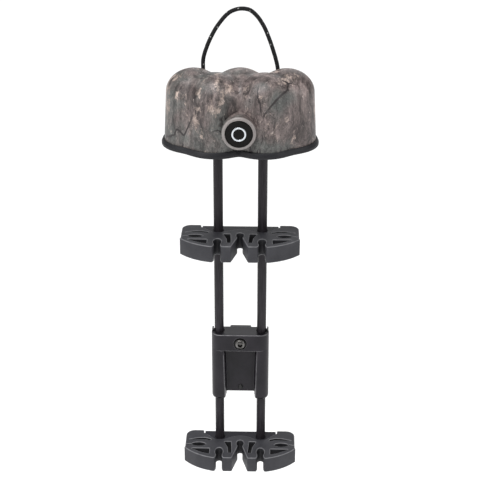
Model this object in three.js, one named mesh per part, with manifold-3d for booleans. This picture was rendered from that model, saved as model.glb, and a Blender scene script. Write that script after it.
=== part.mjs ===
// A two-rod, five-arrow bow quiver: hood on two rods, two rubber arrow grippers, a clamp bracket
// with a cam-locked dovetail, and the plate that screws to the bow.
// Millimetres, +Z up, -Y is the front. The origin is the centre of the plate's face on the bow.
import * as THREE from 'three';
import { mergeVertices } from 'three/addons/utils/BufferGeometryUtils.js';
import { ParametricGeometry } from 'three/addons/geometries/ParametricGeometry.js';
import Module from 'manifold-3d';

const wasm = await Module();
wasm.setup();

// ---------- driving dimensions ----------
const GAP = 0.3; // between pieces that touch
const SIDES = [-1, 1];

const ROD_X = 22; // half the distance between the rods
const ROD_SETBACK = 30; // rod plane in front of the bow face
const ROD_RADIUS = 4.75; // 3/8 in rods
const ROD_BORE = 3.2;
const ROD_BOTTOM = -104;
const ROD_TOP = 284;
const SLIDE_BORE = ROD_RADIUS + GAP; // holes that the rods run through

// Grippers: "forward" is the distance in front of the rod plane.
const UPPER_GRIPPER_TOP = 154.1;
const LOWER_GRIPPER_TOP = -91.2;
const RUBBER_HEIGHT = 17.6;
const CARRIER_HEIGHT = 15.4;
const GRIPPER_BACK = -10;
const GRIPPER_FRONT = 41.5;
const LOBE_INNER_X = 39.6; // where the rubber end lobe meets the carrier's end
const LOBE_OUTER_X = 58.6;
const LIP_OUTER_X = 59.5; // the front jaw stands this far out
const CARRIER_END_X = 38.4;
const SIDE_ARROW = { x: 22, forward: 29.9, halfWidth: 4.1, halfLength: 7.1, neck: 3 };
const CENTRE_ARROW = { x: 0, forward: 14.2, halfWidth: 3.8, halfLength: 5.8, neck: 2.6 };
const OUTER_ARROW = { x: 44.2, forward: 16.3, halfLength: 7.3, halfHeight: 3.2 };
const VEE_MOUTH_X = 8.6;
const SET_SCREW_RADIUS = 2;

// Bracket
const BRACKET_HALF_X = 29.8;
const BRACKET_FRONT = 11.6;
const BRACKET_BACK = -8.4;
const BRACKET_TOP = 39;
const BRACKET_BOTTOM = -39;
const BRACKET_CORNER = 9.6;
const BLOCK_BOTTOM = 19.8; // underside of the solid top block
const RECESS_HALF_TOP = 16.4;
const RECESS_HALF_BOTTOM = 14.8;
const RECESS_FLOOR = -1.4;
const FLOOR_BOTTOM = -35.3;
const TOP_BEVEL = 1.8;
const EAR_HEIGHT = 2.4;
const CLAMP_SCREW_Z = 29;
const CLAMP_HEAD_RADIUS = 5.4;
const CLAMP_SHANK_RADIUS = 3;
const RIVET_Z = -30;
const RIVET_SHANK_RADIUS = 1.5;

// Receiver, cam lever and bow plate
const RECEIVER_HALF_X = 15;
const RECEIVER_BACK_Y = -6.5;
const RECEIVER_BOTTOM = -26;
const RECEIVER_TOP = 30.5;
const SCREW_BOSS_TOP = 35.4; // the clamp screw's thread is in a boss on top of the receiver
const SCREW_BOSS_HALF_X = 11;
const SCREW_BOSS_BACK_Y = -12;
const RAIL_TOP = 24;
const RAIL_BOTTOM = -26;
const RAIL_HALF_BASE = 7;
const RAIL_HALF_FACE = 9.5;
const PLATE_Y = -6;
const RAIL_Y = -11;
const PLATE_HALF_X = 14;
const PLATE_HALF_Z = 26;
const PLATE_CORNER = 5;
const BOW_SCREW_Z = 33.3 / 2; // the 1 5/16 in accessory hole spacing on bows
const BOW_SCREW_RADIUS = 2.4;
const BOW_SCREW_HEAD_RADIUS = 4.5;
const BOW_SCREW_REACH = 8;
const LEVER_X = 21;
const LEVER_Z = 20;
const LEVER_Y = [-11.6, -6.8];
const CAM_OFFSET = 0.9;
const CAM_RADIUS = 4.6;
const LEVER_PIN_RADIUS = 2;
const PLUNGER_Y = -9.2;

// Hood: five round lobes, two in front of three, joined by smooth valleys
const LOBES = [[-44, 7.5], [0, 6], [44, 7.5], [-23, 22], [23, 22]];
const HOOD_CENTRE = 14;
const HOOD_RADIUS = 29; // at the rim
const HOOD_DRAFT = 2.6; // how much narrower each lobe is at the shoulder, where the dome starts
const HOOD_WALL = 2.6;
const LOBE_BLEND = 3;
const DOME_WIDTH = 27;
const DOME_HEIGHT = 22;
const HOOD_SLICES = 52;
const HOOD_TOP = 322.3;
const HOOD_BOTTOM = 250.6;
const RIM_BOTTOM = 248.5;
const RIM_TOP = 254.4;
const RIM_OUT = 2.6;
const RIM_IN = 1.8;
const RIM_SLACK = 0.9; // room in the channel for the wall, which leans inwards
const FOAM_BOTTOM = 286;
const FOAM_CLEARANCE = 1.7;
const BADGE_Z = 275.2;
const BOSS_RADIUS = 16;
const BOSS_FRONT = 58;
const BOSS_LENGTH = 18;
const BADGE_RADIUS = 12.7;
const BADGE_DEPTH = 1.4;
const YOKE_BOTTOM = 262;
const YOKE_TOP = 278;
const YOKE_PAD_BACK = -14.6;
const YOKE_SCREW_X = 11;
const YOKE_SCREW_RADIUS = 2;

// Carry cord: a loop on the hood's rear top
const CORD_RADIUS = 2;
const CORD_X = 35.5;
const CORD_FORWARD = -8.5;
const EYELET_BORE = 2.5;
const EYELET_RADIUS = 3.7;
const EYELET_TOP = 318.2;
const EYELET_BOTTOM = 311.2;
const KNOT_Z = 300.2;
const KNOT_RADIUS = 4;

// ---------- tools ----------
const group = new THREE.Group();

function place(name, geometry, look) {
  geometry.computeVertexNormals();
  const mesh = new THREE.Mesh(geometry, new THREE.MeshStandardMaterial(look));
  mesh.name = name;
  group.add(mesh);
}

function solid(geometry) {
  const bare = geometry.clone();
  bare.deleteAttribute('normal');
  bare.deleteAttribute('uv');
  const merged = mergeVertices(bare, 1e-4);
  const index = merged.index.array;
  const kept = [];
  for (let i = 0; i < index.length; i += 3) {
    const [a, b, c] = index.slice(i, i + 3);
    if (a !== b && b !== c && a !== c) kept.push(a, b, c);
  }
  return new wasm.Manifold(new wasm.Mesh({
    numProp: 3,
    vertProperties: new Float32Array(merged.attributes.position.array),
    triVerts: new Uint32Array(kept),
  }));
}

function geometryOf(body) {
  const mesh = body.getMesh();
  const geometry = new THREE.BufferGeometry();
  geometry.setAttribute('position', new THREE.BufferAttribute(mesh.vertProperties, 3));
  geometry.setIndex(new THREE.BufferAttribute(mesh.triVerts, 1));
  return geometry;
}

const joined = (...bodies) => bodies.reduce((all, body) => all.add(body));
const cut = (body, ...tools) => tools.reduce((rest, tool) => rest.subtract(tool), body);

// A shape in (x, forward) becomes a slab between two heights.
function slab(shape, bottom, top, curveSegments = 8) {
  const geometry = new THREE.ExtrudeGeometry(shape, {
    depth: top - bottom, bevelEnabled: false, curveSegments,
  });
  geometry.translate(0, -ROD_SETBACK, bottom);
  return solid(geometry);
}

// Shapes are drawn with y = -forward, so that they extrude straight up.
function outline(points) {
  return new THREE.Shape(points.map(([x, forward]) => new THREE.Vector2(x, -forward)));
}

function mirrored(half) {
  return [...half, ...half.slice().reverse().map(([x, forward]) => [-x, forward])];
}

function disc(x, forward, radius) {
  const shape = new THREE.Shape();
  shape.absarc(x, -forward, radius, 0, 2 * Math.PI, false);
  return shape;
}

function oval({ x, forward, halfWidth, halfLength }, side = 1) {
  const shape = new THREE.Shape();
  shape.absellipse(side * x, -forward, halfWidth, halfLength, 0, 2 * Math.PI, false, 0);
  return shape;
}

function block(xs, ys, zs) {
  const geometry = new THREE.BoxGeometry(xs[1] - xs[0], ys[1] - ys[0], zs[1] - zs[0]);
  geometry.translate((xs[0] + xs[1]) / 2, (ys[0] + ys[1]) / 2, (zs[0] + zs[1]) / 2);
  return solid(geometry);
}

// A turned piece: profile of [radius, height] along the axis, then laid along +X, +Y or +Z.
function turned(profile, axis, at, segments = 20) {
  const points = profile.map(([radius, height]) => new THREE.Vector2(radius, height));
  const geometry = new THREE.LatheGeometry(points, segments);
  if (axis === 'z') geometry.rotateX(Math.PI / 2);
  if (axis === 'x') geometry.rotateZ(-Math.PI / 2);
  geometry.translate(...at);
  return solid(geometry);
}

function rodOf(radius, from, to) {
  return [[0, from], [radius, from], [radius, to], [0, to]];
}

// A screw head with a hexagonal socket: a turned body less a six-sided prism.
function socketCut(axis, radius, from, to, at) {
  return turned(rodOf(radius, from, to), axis, at, 6);
}

const BLACK_METAL = { color: 0x17171b, roughness: 0.38, metalness: 0.7 };
const BLACK_PLASTIC = { color: 0x1d1d21, roughness: 0.45, metalness: 0 };
const GREY_RUBBER = { color: 0x303034, roughness: 0.75, metalness: 0 };
const STEEL = { color: 0x9a9a9e, roughness: 0.3, metalness: 1 };
const CORD = { color: 0x161616, roughness: 0.9, metalness: 0 };
const CARBON = { color: 0x1b1a1f, roughness: 0.3, metalness: 0.2 };

// ---------- rods ----------
for (const side of SIDES) {
  const name = side < 0 ? 'left' : 'right';
  const tube = [
    [ROD_BORE, ROD_BOTTOM], [ROD_RADIUS, ROD_BOTTOM], [ROD_RADIUS, ROD_TOP], [ROD_BORE, ROD_TOP],
    [ROD_BORE, ROD_BOTTOM],
  ];
  const at = [side * ROD_X, -ROD_SETBACK, 0];
  place(`rod_${name}`, geometryOf(turned(tube, 'z', at)), CARBON);

  const plugTop = ROD_BOTTOM + 9;
  const flangeTop = ROD_BOTTOM - GAP;
  const plug = [
    [0, flangeTop - 1.4], [4, flangeTop - 1.4], [4.5, flangeTop - 0.9], [4.5, flangeTop],
    [ROD_BORE - GAP, flangeTop], [ROD_BORE - GAP, plugTop], [0, plugTop],
  ];
  place(`rod_plug_${name}`, geometryOf(turned(plug, 'z', at)), BLACK_PLASTIC);
}

// ---------- grippers ----------
function carrierHalf(grow) {
  return [
    [CARRIER_END_X + (grow ? LOBE_INNER_X - CARRIER_END_X : 0), GRIPPER_BACK - (grow ? 3 : 0)],
    [CARRIER_END_X + (grow ? LOBE_INNER_X - CARRIER_END_X : 0), -5.2],
    [34.2, -1.2 + grow], [30.6, 2.9 + grow], [27.8, 5.7 + grow], [26, 6.2 + grow],
    [18, 6.2 + grow], [15.6, 5.4 + grow], [11, 2.3 + grow], [6, 0 + grow], [2, -0.8 + grow],
  ];
}

function rubberOutline() {
  const shape = new THREE.Shape();
  const corner = 11;
  shape.moveTo(-LOBE_OUTER_X + corner, -GRIPPER_BACK);
  shape.lineTo(LOBE_OUTER_X - corner, -GRIPPER_BACK);
  shape.absarc(LOBE_OUTER_X - corner, -GRIPPER_BACK - corner, corner, Math.PI / 2, 0, true);
  shape.lineTo(LOBE_OUTER_X, -21.4);
  shape.lineTo(LIP_OUTER_X, -22.4);
  shape.quadraticCurveTo(48, -36.4, 28.5, -GRIPPER_FRONT);
  shape.lineTo(-28.5, -GRIPPER_FRONT);
  shape.quadraticCurveTo(-48, -36.4, -LIP_OUTER_X, -22.4);
  shape.lineTo(-LOBE_OUTER_X, -21.4);
  shape.lineTo(-LOBE_OUTER_X, -GRIPPER_BACK - corner);
  shape.absarc(-LOBE_OUTER_X + corner, -GRIPPER_BACK - corner, corner, Math.PI, Math.PI / 2, true);
  return shape;
}

function sideMouth(side) {
  const x = side * SIDE_ARROW.x;
  const past = GRIPPER_FRONT + 1;
  return outline([
    [x - SIDE_ARROW.neck, SIDE_ARROW.forward], [x + SIDE_ARROW.neck, SIDE_ARROW.forward],
    [x + SIDE_ARROW.neck, 38], [x + 3.6, 40], [x + 4.9, past],
    [x - 4.9, past], [x - 3.6, 40], [x - SIDE_ARROW.neck, 38],
  ]);
}

function centreMouth() {
  const past = GRIPPER_FRONT + 1;
  return outline(mirrored([
    [CENTRE_ARROW.neck, CENTRE_ARROW.forward], [CENTRE_ARROW.neck, 20.5], [VEE_MOUTH_X, past],
  ]));
}

function lensHole(side) {
  const steps = 12;
  const half = (sign) => Array.from({ length: steps + 1 }, (_, i) => {
    const along = 1 - (2 * i) / steps;
    const high = sign * OUTER_ARROW.halfHeight * (1 - along * along);
    return [side * (OUTER_ARROW.x + sign * along * OUTER_ARROW.halfLength), OUTER_ARROW.forward + high];
  });
  return outline([...half(1).slice(0, -1), ...half(-1).slice(0, -1)]);
}

function outerSlit(side) {
  return outline([
    [side * 50.4, 15.8], [side * 55, 16.6], [side * 61, 18.2],
    [side * 61, 19.2], [side * 55, 17.6], [side * 50.4, 16.7],
  ]);
}

// A thin slit, arched towards the back, that lets the end lobe flex.
function archSlit(side) {
  return outline([
    [side * 31.6, 6.9], [side * 38, 4.4], [side * 45, 4.8], [side * 56, 8.4],
    [side * 45, 7.5], [side * 38, 7.3], [side * 31.6, 9.4],
  ]);
}

function finWindow(side) {
  return outline([[side * 52, 24.3], [side * 32.4, 24.3], [side * 32.4, 34], [side * 40, 31.4]]);
}

function reliefWindow(side) {
  return outline([
    [side * 17, 11.2], [side * 9.7, 11.2], [side * 8.7, 31.8], [side * 12.1, 31.8], [side * 13, 21.5],
  ]);
}

function gripper(name, top) {
  const bottom = top - RUBBER_HEIGHT;
  const low = bottom - 1;
  const high = top + 1;
  const windows = SIDES.flatMap((side) => [
    oval(SIDE_ARROW, side), sideMouth(side), lensHole(side), outerSlit(side),
    archSlit(side), finWindow(side), reliefWindow(side),
  ]);
  windows.push(oval(CENTRE_ARROW), centreMouth());
  windows.push(outline(mirrored(carrierHalf(GAP))));
  const rubber = cut(
    slab(rubberOutline(), bottom, top), ...windows.map((shape) => slab(shape, low, high, 10)),
  );
  place(`${name}_rubber`, geometryOf(rubber), GREY_RUBBER);

  const inset = (RUBBER_HEIGHT - CARRIER_HEIGHT) / 2;
  const middle = (top + bottom) / 2;
  const backY = -ROD_SETBACK - GRIPPER_BACK;
  const bores = SIDES.map((side) => slab(disc(side * ROD_X, 0, SLIDE_BORE), low, high, 16));
  const threads = SIDES.map((side) => turned(
    rodOf(SET_SCREW_RADIUS + GAP, -7, 1), 'y', [side * ROD_X, backY, middle], 16,
  ));
  const bar = slab(outline(mirrored(carrierHalf(0))), bottom + inset, top - inset);
  place(`${name}_carrier`, geometryOf(cut(bar, ...bores, ...threads)), BLACK_PLASTIC);

  for (const side of SIDES) {
    const at = [side * ROD_X, backY, middle];
    const screw = turned(rodOf(SET_SCREW_RADIUS, -4.6, -0.4), 'y', at, 16);
    const socket = socketCut('y', 1.15, -2.4, 1, at);
    const hand = side < 0 ? 'left' : 'right';
    place(`${name}_set_screw_${hand}`, geometryOf(cut(screw, socket)), BLACK_METAL);
  }
}

gripper('upper_gripper', UPPER_GRIPPER_TOP);
gripper('lower_gripper', LOWER_GRIPPER_TOP);

// ---------- bracket ----------
function roundedPlan(halfX, back, front, radius) {
  const shape = new THREE.Shape();
  const inner = halfX - radius;
  shape.absarc(inner, -front + radius, radius, -Math.PI / 2, 0, false);
  shape.absarc(inner, -back - radius, radius, 0, Math.PI / 2, false);
  shape.absarc(-inner, -back - radius, radius, Math.PI / 2, Math.PI, false);
  shape.absarc(-inner, -front + radius, radius, Math.PI, 1.5 * Math.PI, false);
  return shape;
}

function bracketBody() {
  const plan = roundedPlan(BRACKET_HALF_X, BRACKET_BACK, BRACKET_FRONT, BRACKET_CORNER);
  const hull = slab(plan, BRACKET_BOTTOM, BRACKET_TOP, 6);

  // The front recess narrows a little towards its open bottom.
  const recessShape = new THREE.Shape([
    new THREE.Vector2(-RECESS_HALF_BOTTOM, BRACKET_BOTTOM - 1),
    new THREE.Vector2(RECESS_HALF_BOTTOM, BRACKET_BOTTOM - 1),
    new THREE.Vector2(RECESS_HALF_TOP, BLOCK_BOTTOM),
    new THREE.Vector2(-RECESS_HALF_TOP, BLOCK_BOTTOM),
  ]);
  const recess = new THREE.ExtrudeGeometry(recessShape, { depth: 20, bevelEnabled: false });
  recess.rotateX(Math.PI / 2);
  recess.translate(0, -ROD_SETBACK - RECESS_FLOOR, 0);

  const belowFloor = block(
    [-RECESS_HALF_BOTTOM, RECESS_HALF_BOTTOM], [-ROD_SETBACK - 20, -ROD_SETBACK + 20],
    [BRACKET_BOTTOM - 1, FLOOR_BOTTOM],
  );

  // A wedge laid along the front top edge makes the bevel.
  const bevelShape = new THREE.Shape([
    new THREE.Vector2(-1, -TOP_BEVEL - 1), new THREE.Vector2(TOP_BEVEL + 1, 1), new THREE.Vector2(-1, 1),
  ]);
  const bevel = new THREE.ExtrudeGeometry(bevelShape, { depth: 2 * BRACKET_HALF_X, bevelEnabled: false });
  bevel.rotateX(Math.PI / 2);
  bevel.rotateZ(Math.PI / 2);
  bevel.translate(-BRACKET_HALF_X, -ROD_SETBACK - BRACKET_FRONT, BRACKET_TOP);

  const bores = SIDES.map((side) => slab(
    disc(side * ROD_X, 0, SLIDE_BORE), BRACKET_BOTTOM - 1, BRACKET_TOP + 5, 16,
  ));
  const screwAxis = [0, -ROD_SETBACK - BRACKET_FRONT, CLAMP_SCREW_Z];
  const seat = turned(rodOf(CLAMP_HEAD_RADIUS + 1.5, -1, 1.2), 'y', screwAxis, 24);
  const shankHole = turned(rodOf(CLAMP_SHANK_RADIUS + GAP, 0, 21), 'y', screwAxis, 24);
  const rivetHole = turned(rodOf(RIVET_SHANK_RADIUS + GAP, -10, 20), 'y', [0, -ROD_SETBACK, RIVET_Z], 16);

  // Two thin ears stand up beside the rods at the outer top corners.
  const ears = SIDES.map((side) => {
    const ring = cut(
      slab(plan, BRACKET_TOP - 2, BRACKET_TOP + EAR_HEIGHT, 6),
      slab(disc(side * ROD_X, 0, SLIDE_BORE + 0.9), BRACKET_TOP - 4, BRACKET_TOP + 5, 16),
    );
    const outer = side * (ROD_X + 5);
    const xs = side < 0 ? [-BRACKET_HALF_X - 1, outer] : [outer, BRACKET_HALF_X + 1];
    const ys = [-ROD_SETBACK - 3, -ROD_SETBACK + 5];
    return ring.intersect(block(xs, ys, [BRACKET_TOP - 1, BRACKET_TOP + 5]));
  });
  return joined(
    cut(hull, solid(recess), belowFloor, solid(bevel), ...bores, seat, shankHole, rivetHole), ...ears,
  );
}

place('bracket_body', geometryOf(bracketBody()), BLACK_METAL);

const screwSeatY = -ROD_SETBACK - BRACKET_FRONT + 1.2;
const washerInner = CLAMP_SHANK_RADIUS + GAP;
const washerOuter = CLAMP_HEAD_RADIUS + 0.9;
const washer = [
  [washerInner, -0.8], [washerOuter, -0.8], [washerOuter, -GAP], [washerInner, -GAP], [washerInner, -0.8],
];
place('clamp_washer', geometryOf(turned(washer, 'y', [0, screwSeatY, CLAMP_SCREW_Z])), STEEL);

const clampHeadY = screwSeatY - 1.1;
const clampScrew = [
  [0, -3.2], [2.8, -3], [4.4, -2.3], [CLAMP_HEAD_RADIUS, -0.9], [CLAMP_HEAD_RADIUS, 0],
  [CLAMP_SHANK_RADIUS, 0], [CLAMP_SHANK_RADIUS, 28], [0, 28],
];
place('clamp_screw', geometryOf(cut(
  turned(clampScrew, 'y', [0, clampHeadY, CLAMP_SCREW_Z]),
  socketCut('y', 2.4, -4, -1.2, [0, clampHeadY, CLAMP_SCREW_Z]),
)), STEEL);

const rivetSeatY = -ROD_SETBACK - RECESS_FLOOR;
const rivet = [
  [0, -1.9], [1.6, -1.7], [2.8, -GAP], [RIVET_SHANK_RADIUS, -GAP], [RIVET_SHANK_RADIUS, 6], [0, 6],
];
place('recess_rivet', geometryOf(turned(rivet, 'y', [0, rivetSeatY, RIVET_Z], 20)), BLACK_METAL);

// ---------- dovetail receiver ----------
const receiverFrontY = -ROD_SETBACK - BRACKET_BACK + GAP;

function dovetail(grow, bottom, top) {
  const base = RAIL_HALF_BASE + grow;
  const face = RAIL_HALF_FACE + grow;
  const section = [
    [-base, PLATE_Y + 1], [-base, PLATE_Y], [-face, RAIL_Y - grow],
    [face, RAIL_Y - grow], [base, PLATE_Y], [base, PLATE_Y + 1],
  ];
  const shape = new THREE.Shape(section.map(([x, y]) => new THREE.Vector2(x, y)));
  const geometry = new THREE.ExtrudeGeometry(shape, { depth: top - bottom, bevelEnabled: false });
  geometry.translate(0, 0, bottom);
  return solid(geometry);
}

const receiverBlock = joined(
  block(
    [-RECEIVER_HALF_X, RECEIVER_HALF_X], [receiverFrontY, RECEIVER_BACK_Y],
    [RECEIVER_BOTTOM, RECEIVER_TOP],
  ),
  block(
    [-SCREW_BOSS_HALF_X, SCREW_BOSS_HALF_X], [receiverFrontY, SCREW_BOSS_BACK_Y],
    [RECEIVER_TOP - 1, SCREW_BOSS_TOP],
  ),
);
const leverLug = joined(
  block([RECEIVER_HALF_X - 1, LEVER_X], [-20, LEVER_Y[0] - GAP], [LEVER_Z - 6, LEVER_Z + 6]),
  turned(rodOf(6, -20, LEVER_Y[0] - GAP), 'y', [LEVER_X, 0, LEVER_Z]),
);
const receiver = cut(
  joined(receiverBlock, leverLug),
  dovetail(GAP, RECEIVER_BOTTOM - 1, RAIL_TOP + GAP),
  turned(rodOf(LEVER_PIN_RADIUS + GAP, -19.2, 0), 'y', [LEVER_X, 0, LEVER_Z]),
  turned(rodOf(2 + GAP, 8, RECEIVER_HALF_X + 1), 'x', [0, PLUNGER_Y, LEVER_Z], 16),
  turned(
    rodOf(CLAMP_SHANK_RADIUS + GAP, receiverFrontY - 1, receiverFrontY + 8.2), 'y', [0, 0, CLAMP_SCREW_Z],
  ),
  turned(
    rodOf(RIVET_SHANK_RADIUS + GAP, receiverFrontY - 1, receiverFrontY + 2), 'y', [0, 0, RIVET_Z], 16,
  ),
);
place('dovetail_receiver', geometryOf(receiver), BLACK_METAL);

// ---------- cam lever, its pin and the plunger that it presses ----------
const leverTop = LEVER_Z - 2;
const handle = new THREE.Shape();
handle.moveTo(LEVER_X - 3.4, leverTop);
handle.lineTo(LEVER_X - 3.2, leverTop - 20);
handle.quadraticCurveTo(LEVER_X - 3, leverTop - 34, LEVER_X + 2.6, leverTop - 39);
handle.lineTo(LEVER_X + 5, leverTop - 37);
handle.quadraticCurveTo(LEVER_X + 0.4, leverTop - 32, LEVER_X + 1.2, leverTop - 18);
handle.lineTo(LEVER_X + 3.4, leverTop);
const handleGeometry = new THREE.ExtrudeGeometry(handle, {
  depth: LEVER_Y[1] - LEVER_Y[0], bevelEnabled: false, curveSegments: 6,
});
handleGeometry.rotateX(Math.PI / 2);
handleGeometry.translate(0, LEVER_Y[1], 0);
const lever = cut(
  joined(
    turned(rodOf(CAM_RADIUS, ...LEVER_Y), 'y', [LEVER_X - CAM_OFFSET, 0, LEVER_Z], 32),
    solid(handleGeometry),
  ),
  turned(rodOf(LEVER_PIN_RADIUS + GAP, LEVER_Y[0] - 1, LEVER_Y[1] + 1), 'y', [LEVER_X, 0, LEVER_Z]),
);
place('cam_lever', geometryOf(lever), BLACK_METAL);

const pinHeadY = LEVER_Y[1] + GAP;
const pin = [
  [0, -19], [LEVER_PIN_RADIUS, -19], [LEVER_PIN_RADIUS, pinHeadY],
  [3.6, pinHeadY], [3.6, pinHeadY + 1], [2.8, pinHeadY + 1.6], [0, pinHeadY + 1.6],
];
place('lever_pin', geometryOf(turned(pin, 'y', [LEVER_X, 0, LEVER_Z])), STEEL);

const plungerEnd = LEVER_X - CAM_OFFSET - CAM_RADIUS - GAP;
const plunger = [
  [0, 9.95], [1.4, 9.95], [2, 10.6], [2, plungerEnd - 0.5], [1.5, plungerEnd], [0, plungerEnd],
];
place('lock_plunger', geometryOf(turned(plunger, 'x', [0, PLUNGER_Y, LEVER_Z], 16)), STEEL);

// ---------- bow plate with its dovetail rail and two screws ----------
const plateShape = new THREE.Shape();
for (const [sideX, sideZ, start] of [[1, -1, -0.5], [1, 1, 0], [-1, 1, 0.5], [-1, -1, 1]]) {
  plateShape.absarc(
    sideX * (PLATE_HALF_X - PLATE_CORNER), sideZ * (PLATE_HALF_Z - PLATE_CORNER), PLATE_CORNER,
    start * Math.PI, (start + 0.5) * Math.PI, false,
  );
}
const plateGeometry = new THREE.ExtrudeGeometry(plateShape, {
  depth: -PLATE_Y, bevelEnabled: false, curveSegments: 6,
});
plateGeometry.rotateX(Math.PI / 2);
const screwHoles = SIDES.flatMap((side) => {
  const at = [0, 0, side * BOW_SCREW_Z];
  return [
    turned(rodOf(BOW_SCREW_RADIUS + GAP, -14, 1), 'y', at),
    turned(rodOf(BOW_SCREW_HEAD_RADIUS + 0.5, -14, -6.5), 'y', at),
  ];
});
place('bow_plate', geometryOf(cut(
  joined(solid(plateGeometry), dovetail(0, RAIL_BOTTOM, RAIL_TOP)), ...screwHoles,
)), BLACK_METAL);

for (const side of SIDES) {
  const headTop = -10.9;
  const profile = [
    [0, headTop], [BOW_SCREW_HEAD_RADIUS - 0.5, headTop], [BOW_SCREW_HEAD_RADIUS, headTop + 0.6],
    [BOW_SCREW_HEAD_RADIUS, -6.8], [BOW_SCREW_RADIUS, -6.8],
    [BOW_SCREW_RADIUS, BOW_SCREW_REACH - 0.8], [BOW_SCREW_RADIUS - 0.7, BOW_SCREW_REACH],
    [0, BOW_SCREW_REACH],
  ];
  const at = [0, 0, side * BOW_SCREW_Z];
  const name = side < 0 ? 'lower' : 'upper';
  place(`bow_screw_${name}`, geometryOf(cut(
    turned(profile, 'y', at), socketCut('y', 2.3, headTop - 1, headTop + 2.4, at),
  )), STEEL);
}

// ---------- hood ----------
// Distance outside the blended outline of the lobes (negative inside), for lobes of one radius.
function lobeField(x, forward, radius) {
  const weights = LOBES.map(([lobeX, lobeForward]) => {
    const inside = radius - Math.hypot(x - lobeX, forward - lobeForward);
    return Math.exp(inside / LOBE_BLEND);
  });
  return -LOBE_BLEND * Math.log(weights.reduce((sum, weight) => sum + weight, 0));
}

function outlineReach(angle, radius) {
  let near = 0;
  let far = 120;
  for (let i = 0; i < 40; i += 1) {
    const middle = (near + far) / 2;
    const inside = lobeField(middle * Math.cos(angle), HOOD_CENTRE + middle * Math.sin(angle), radius) < 0;
    if (inside) near = middle;
    else far = middle;
  }
  return near;
}

function domeHeight(x, forward, radius, inset) {
  const depth = Math.min(-lobeField(x, forward, radius), DOME_WIDTH - inset);
  const part = Math.min(Math.max(1 - depth / (DOME_WIDTH - inset), 0), 1);
  return HOOD_TOP - DOME_HEIGHT + (DOME_HEIGHT - inset) * Math.sqrt(1 - part * part);
}

// The lobes' radius at a height on the wall, which tapers up to the dome's shoulder.
function wallRadius(z) {
  return HOOD_RADIUS - (HOOD_DRAFT * (z - HOOD_BOTTOM)) / (HOOD_TOP - DOME_HEIGHT - HOOD_BOTTOM);
}

// A closed solid: domed top, tapered wall, flat bottom. inset moves its whole surface inwards.
function hoodSolid(inset, bottom) {
  const slices = HOOD_SLICES;
  const shoulder = HOOD_RADIUS - HOOD_DRAFT - inset;
  const topRings = 7;
  const stations = [];
  for (let i = 0; i <= topRings; i += 1) {
    stations.push({ share: Math.sin((i / topRings) * (Math.PI / 2)), dome: true });
  }
  stations.push({ share: 1, dome: false }, { share: 0, dome: false });
  const last = stations.length - 1;
  const reachesOf = (size) => Array.from(
    { length: slices }, (_, i) => outlineReach((2 * Math.PI * i) / slices, size),
  );
  const domeReaches = reachesOf(shoulder);
  const wallReaches = reachesOf(wallRadius(bottom) - inset);
  const surface = (u, v, target) => {
    const station = stations[Math.round(v * last)];
    const slice = Math.round(u * slices) % slices;
    const angle = (2 * Math.PI * slice) / slices;
    const reach = station.share * (station.dome ? domeReaches : wallReaches)[slice];
    const x = reach * Math.cos(angle);
    const forward = HOOD_CENTRE + reach * Math.sin(angle);
    const z = station.dome ? domeHeight(x, forward, shoulder, inset) : bottom;
    target.set(x, -ROD_SETBACK - forward, z);
  };
  return solid(new ParametricGeometry(surface, slices, last));
}

function lobeSlab(radius, bottom, top) {
  const slices = HOOD_SLICES;
  const points = Array.from({ length: slices }, (_, i) => {
    const angle = (-2 * Math.PI * i) / slices;
    const reach = outlineReach(angle, radius);
    return [reach * Math.cos(angle), HOOD_CENTRE + reach * Math.sin(angle)];
  });
  return slab(outline(points), bottom, top);
}

const badgeAt = [0, -ROD_SETBACK - BOSS_FRONT, BADGE_Z];
const yokeMiddle = (YOKE_BOTTOM + YOKE_TOP) / 2;
const hoodBackY = (x) => {
  let forward = HOOD_CENTRE;
  while (lobeField(x, forward, wallRadius(yokeMiddle)) < 0) forward -= 0.05;
  return -ROD_SETBACK - forward;
};
const hoodScrews = SIDES.map((side) => turned(
  rodOf(YOKE_SCREW_RADIUS + GAP, -HOOD_WALL - 3, 3), 'y',
  [side * YOKE_SCREW_X, hoodBackY(YOKE_SCREW_X), yokeMiddle], 16,
));
const eyeletHoles = SIDES.map((side) => turned(
  rodOf(EYELET_RADIUS + GAP, EYELET_BOTTOM - 4, HOOD_TOP), 'z',
  [side * CORD_X, -ROD_SETBACK - CORD_FORWARD, 0], 20,
));
const hoodShell = cut(
  joined(hoodSolid(0, HOOD_BOTTOM), turned(rodOf(BOSS_RADIUS, 0, BOSS_LENGTH), 'y', badgeAt, 28)),
  hoodSolid(HOOD_WALL, HOOD_BOTTOM - 1),
  turned(rodOf(BADGE_RADIUS + GAP, -1, BADGE_DEPTH + GAP), 'y', badgeAt, 28),
  ...hoodScrews, ...eyeletHoles,
);
place('hood_shell', geometryOf(hoodShell), { color: 0x776b60, roughness: 0.6, metalness: 0 });

// The rim trim is a rubber channel that the shell's lower edge sits in.
const rimTrim = cut(
  lobeSlab(HOOD_RADIUS + RIM_OUT, RIM_BOTTOM, RIM_TOP),
  lobeSlab(HOOD_RADIUS - HOOD_WALL - RIM_IN, RIM_BOTTOM - 1, RIM_TOP + 1),
  cut(
    lobeSlab(HOOD_RADIUS + GAP, HOOD_BOTTOM - GAP, RIM_TOP + 1),
    lobeSlab(HOOD_RADIUS - HOOD_WALL - RIM_SLACK, HOOD_BOTTOM - 1, RIM_TOP + 2),
  ),
);
place('hood_rim_trim', geometryOf(rimTrim), { color: 0x131316, roughness: 0.6, metalness: 0 });

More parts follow.
